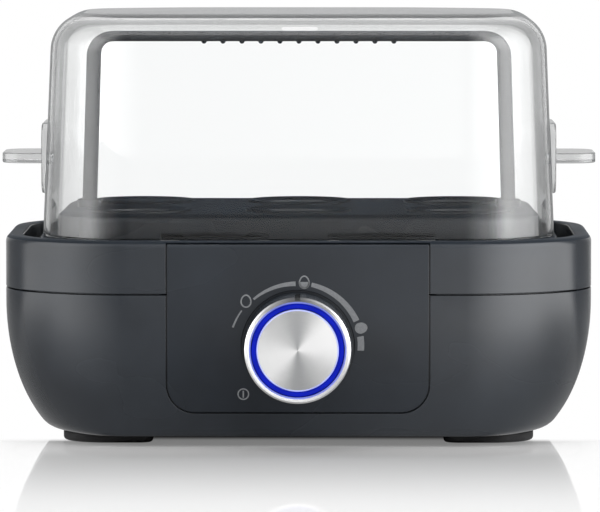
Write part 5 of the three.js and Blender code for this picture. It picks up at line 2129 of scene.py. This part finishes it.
@dataclass
class Studio:
    """The camera, the pale floor, the soft lights and the white surroundings.

    On the floor, a reach is a range of lengths from the base's outline. A turn is a range of angles in
    degrees, and a rise is one of the upward share of a direction.
    """

    plan: Plan
    eye: Point = (11.0, -2000.0, 197.3)
    aim: Point = (0.35, 0.0, 60.5)
    lens: float = 344.8
    floor_half: float = 2600.0
    floor_colour: Colour = (0.92, 0.92, 0.92)
    white_reach: Flat = (185.0, 420.0)
    # side_inset, side_reach, clear_side and clear_front bound the white painted over the shadow beside the
    # base's ends.
    side_inset: float = 12.0
    side_reach: Flat = (0.0, 26.0)
    clear_side: Flat = (68.0, 82.0)
    clear_front: Flat = (-50.0, -34.0)
    drawn_in: float = 28.0
    under_reach: Flat = (0.0, 14.0)
    under_matt: float = 0.85
    # lift is a share of white painted over the shadow along the base's front and back edges.
    lift: float = 0.19
    lift_reach: Flat = (0.0, 30.0)
    lift_inside: Flat = (25.0, 42.0)
    mirror_reach: Flat = (-10.0, 205.0)
    mirror_share: Flat = (0.56, 0.1)
    sheen_reach: Flat = (0.0, 430.0)
    sheen_start: float = 0.1
    near_reach: Flat = (250.0, 700.0)
    near_glow: float = 0.3
    near_turn: Flat = (-35.0, -5.0)
    near_side: float = 0.6
    ambient: float = 0.5
    front_glow: float = 0.25
    top_glow: float = 0.5
    top_rise: Flat = (0.35, 0.95)
    back_glow: float = 0.5
    back_turn: Flat = (140.0, 165.0)
    box_edge: float = 4.0
    box_turn: Flat = (60.0, 115.0)
    box_turned: float = 0.55
    box_rise: Flat = (0.55, 0.95)
    box_raised: float = 0.25
    boxes: tuple[SoftBox, ...] = (SoftBox(-1.0, 2.0, 66.0, 109.0, 3.4), SoftBox(1.0, -16.0, 50.0, 108.0, 5.7))
    lamp_aim: Point = (0.0, 0.0, 60.0)
    lamps: tuple[Lamp, ...] = (
        Lamp("top_box", (0.0, -100.0, 1250.0), (1300.0, 1000.0), 9.0),
        Lamp("left_lamp", (-1250.0, -750.0, 750.0), (700.0, 900.0), 4.0),
        Lamp("right_lamp", (1250.0, -650.0, 750.0), (800.0, 900.0), 5.0),
    )

    def build_camera(self) -> None:
        """The camera at the picture's angle."""
        lens = bpy.data.cameras.new("camera")
        lens.lens = self.lens
        lens.sensor_width = 36.0
        shift = Vector((0.0, self.plan.middle_y, 0.0))
        self._aimed("camera", lens, (Vector(self.eye) + shift) * MM, (Vector(self.aim) + shift) * MM)
        bpy.context.scene.camera = bpy.data.objects["camera"]

    def _aimed(self, name: str, data: bpy.types.ID, place: Vector, aim: Vector) -> Piece:
        """Adds an object that looks at a place.

        Args:
            name: Its name.
            data: Its camera or light.
            place: Where it stands, in metres.
            aim: What it looks at.
        Returns:
            The object.
        """
        made = add(name, data)
        made.location = place
        made.rotation_euler = (aim - place).to_track_quat("-Z", "Y").to_euler()
        return made

    def build_lights(self) -> None:
        """The soft boxes above and at both sides."""
        for lamp in self.lamps:
            light = bpy.data.lights.new(lamp.name, "AREA")
            light.shape = "RECTANGLE"
            light.size, light.size_y = (size * MM for size in lamp.size)
            light.energy = lamp.power
            made = self._aimed(lamp.name, light, Vector(lamp.place) * MM, Vector(self.lamp_aim) * MM)
            made.visible_glossy = False

    def build_floor(self) -> None:
        """A pale gloss floor that mirrors the base close by and fades to white further off."""
        half = self.floor_half
        corners = [(x * half, y * half, 0.0) for x, y in ((-1, -1), (1, -1), (1, 1), (-1, 1))]
        floor = piece_of("floor", corners, [(0, 1, 2, 3)])
        floor.data.materials.append(self._floor_material())

    def _floor_material(self) -> bpy.types.Material:
        """White gloss with a mirror share that falls with distance from the base.

        Returns:
            The material: plain white further off, white painted over the shadow beside the base's ends, a
                painted white
            lift over the shadow along its front and back edges, matt white under it, and to a glossy surface
            what a studio's floor would be.
        """
        made = bpy.data.materials.new("studio_floor")
        made.use_nodes = True
        tree = Tree(made.node_tree)
        x, y, _ = tree.axes()
        side, row = abs(x), y - self.plan.middle_y * MM
        across = (side - (self.plan.half_x - self.side_inset) * MM).peak(0.0)
        depth = across.hypot((abs(row) - self.plan.half_y * MM).peak(0.0))
        inside = self.plan.half_y * MM - abs(row)
        inside_ends = (self.plan.half_x - self.drawn_in) * MM - side
        under = inside_ends.call("MINIMUM", inside).over(self.under_reach)
        matt = tree.node("ShaderNodeBsdfDiffuse", {"Color": self.floor_colour})
        shine = tree.node("ShaderNodeBsdfAnisotropic", {"Color": WHITE, "Roughness": 0.0})
        mirror = depth.over(self.mirror_reach, *self.mirror_share) * (1.0 - under * self.under_matt)
        # Painted light: white over the shadow beside the base's ends.
        beside = across.over(self.side_reach).peak(side.over(self.clear_side) * row.over(self.clear_front))
        # Painted light: a white lift over the shadow along the base's front and back edges.
        near = depth.over(self.lift_reach, self.lift, 0.0) * inside.over(self.lift_inside, 1.0, 0.0)
        white = depth.over(self.white_reach).peak(beside).peak(near)
        seen, _, glossy = self._rays(tree)
        shown = tree.mix_shaders(white * seen, tree.mix_shaders(mirror, matt, shine), tree.glow(1.0))
        sheen = tree.glow(self._sheen(tree, x, y, depth) * (1.0 - under))
        tree.node("ShaderNodeOutputMaterial", {"Surface": tree.mix_shaders(glossy, shown, sheen)})
        return made

    def _sheen(self, tree: Tree, x: Term, y: Term, depth: Term) -> Term:
        """What a glossy surface mirrors of the floor.

        Args:
            tree: The tree to add nodes to.
            x: Place to the right.
            y: Place to the back.
            depth: Distance from the base's outline.
        Returns:
            The radiance: dark close by, in front evenly grey further off, and then the surround's.
        """
        mirrored = self._surround(tree, x, y, x * 0.0) * depth.over(self.sheen_reach, self.sheen_start)
        close = depth.over(self.near_reach, 1.0, 0.0)
        sideways = y.call("ARCTAN2", abs(x)).ramp(*map(math.radians, self.near_turn), 0.0, self.near_side)
        return mirrored * (1.0 - close * sideways) + close * self.near_glow

    @staticmethod
    def _rays(tree: Tree) -> tuple[Term, Term, Term]:
        """Sorts the rays by what they should meet.

        Args:
            tree: The tree to add nodes to.
        Returns:
            One, or else zero, for the camera's rays, also through the lid; for rays off the floor's mirror; and
            for rays off a gloss.
        """
        ray = tree.outputs("ShaderNodeLightPath")
        fresh = 1.0 - ray["Diffuse Depth"].call("MINIMUM", 1.0)
        through = ray["Is Transmission Ray"]
        direct = 1.0 - ray["Glossy Depth"].call("MINIMUM", 1.0)
        seen = ray["Is Camera Ray"].peak(through * direct) * fresh
        glossy = ray["Is Glossy Ray"] * fresh * (1.0 - through * direct)
        return seen, ray["Is Singular Ray"] * fresh * (1.0 - through), glossy

    def _surround(self, tree: Tree, x: Term, y: Term, height: Term) -> Term:
        """What glossy surfaces mirror: dark in front, a tall soft box at each side, paler above and behind.

        Args:
            tree: The tree to add nodes to.
            x: Place or direction to the right.
            y: Place or direction to the back.
            height: Upward share of the direction.
        Returns:
            The radiance.
        """
        turn = x.call("ARCTAN2", y * -1.0)
        mirrored = []
        for box in self.boxes:
            away = turn * (box.side * 180 / math.pi)
            shape = away.ramp(box.start, box.full)
            shape = shape * away.ramp(box.end, box.end + self.box_edge, box.power, 0.0)
            mirrored.append(shape * away.ramp(*self.box_turn, 1.0, self.box_turned))
        behind = abs(turn).ramp(*map(math.radians, self.back_turn), 0.0, self.back_glow)
        above = height.ramp(*self.top_rise, 0.0, self.top_glow)
        sides = sum(mirrored[1:], mirrored[0]) * height.ramp(*self.box_rise, 1.0, self.box_raised)
        return sides + behind + above + self.front_glow

    def build_world(self) -> None:
        """White to rays that see it, the surround to glossy rays, and a soft grey as light."""
        world = bpy.data.worlds.new("studio")
        bpy.context.scene.world = world
        world.use_nodes = True
        tree = Tree(world.node_tree)
        x, y, z = tree.axes(tree.node("ShaderNodeTexCoord", output="Generated"))
        seen, off_floor, glossy = self._rays(tree)
        light = self.ambient + (self._surround(tree, x, y, z) - self.ambient) * glossy
        strength = light + (1.0 - light) * seen.peak(off_floor)
        sky = tree.node("ShaderNodeBackground", {"Color": WHITE, "Strength": strength})
        tree.node("ShaderNodeOutputWorld", {"Surface": sky})

    def build(self) -> None:
        """Everything round the object."""
        self.build_camera()
        self.build_floor()
        self.build_world()
        self.build_lights()
        bpy.context.scene.view_settings.view_transform = "Standard"


def main() -> None:
    """Builds the stage and then each sub-assembly."""
    logging.basicConfig(level=logging.INFO, format="%(message)s")
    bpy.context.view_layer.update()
    plan, form, entry = Plan.of_frame(), BaseForm(), CordEntry()
    Studio(plan).build()
    panel = FrontPanel(plan, form)
    Housing(plan, form, panel, entry).build()
    Collar(plan, panel).build()
    panel.build()
    DialMarks(panel).build()
    underside = Underside(plan, form)
    underside.build_cover()
    underside.build_screws()
    underside.build_feet()
    entry.build()
    Pan(plan).build()
    Knob().build()
    bow = CarryBow(plan)
    Tray(plan, bow).build()
    bow.build()
    Lid(plan).build()
    Interior.of_record().dress()


if __name__ == "__main__":
    main()
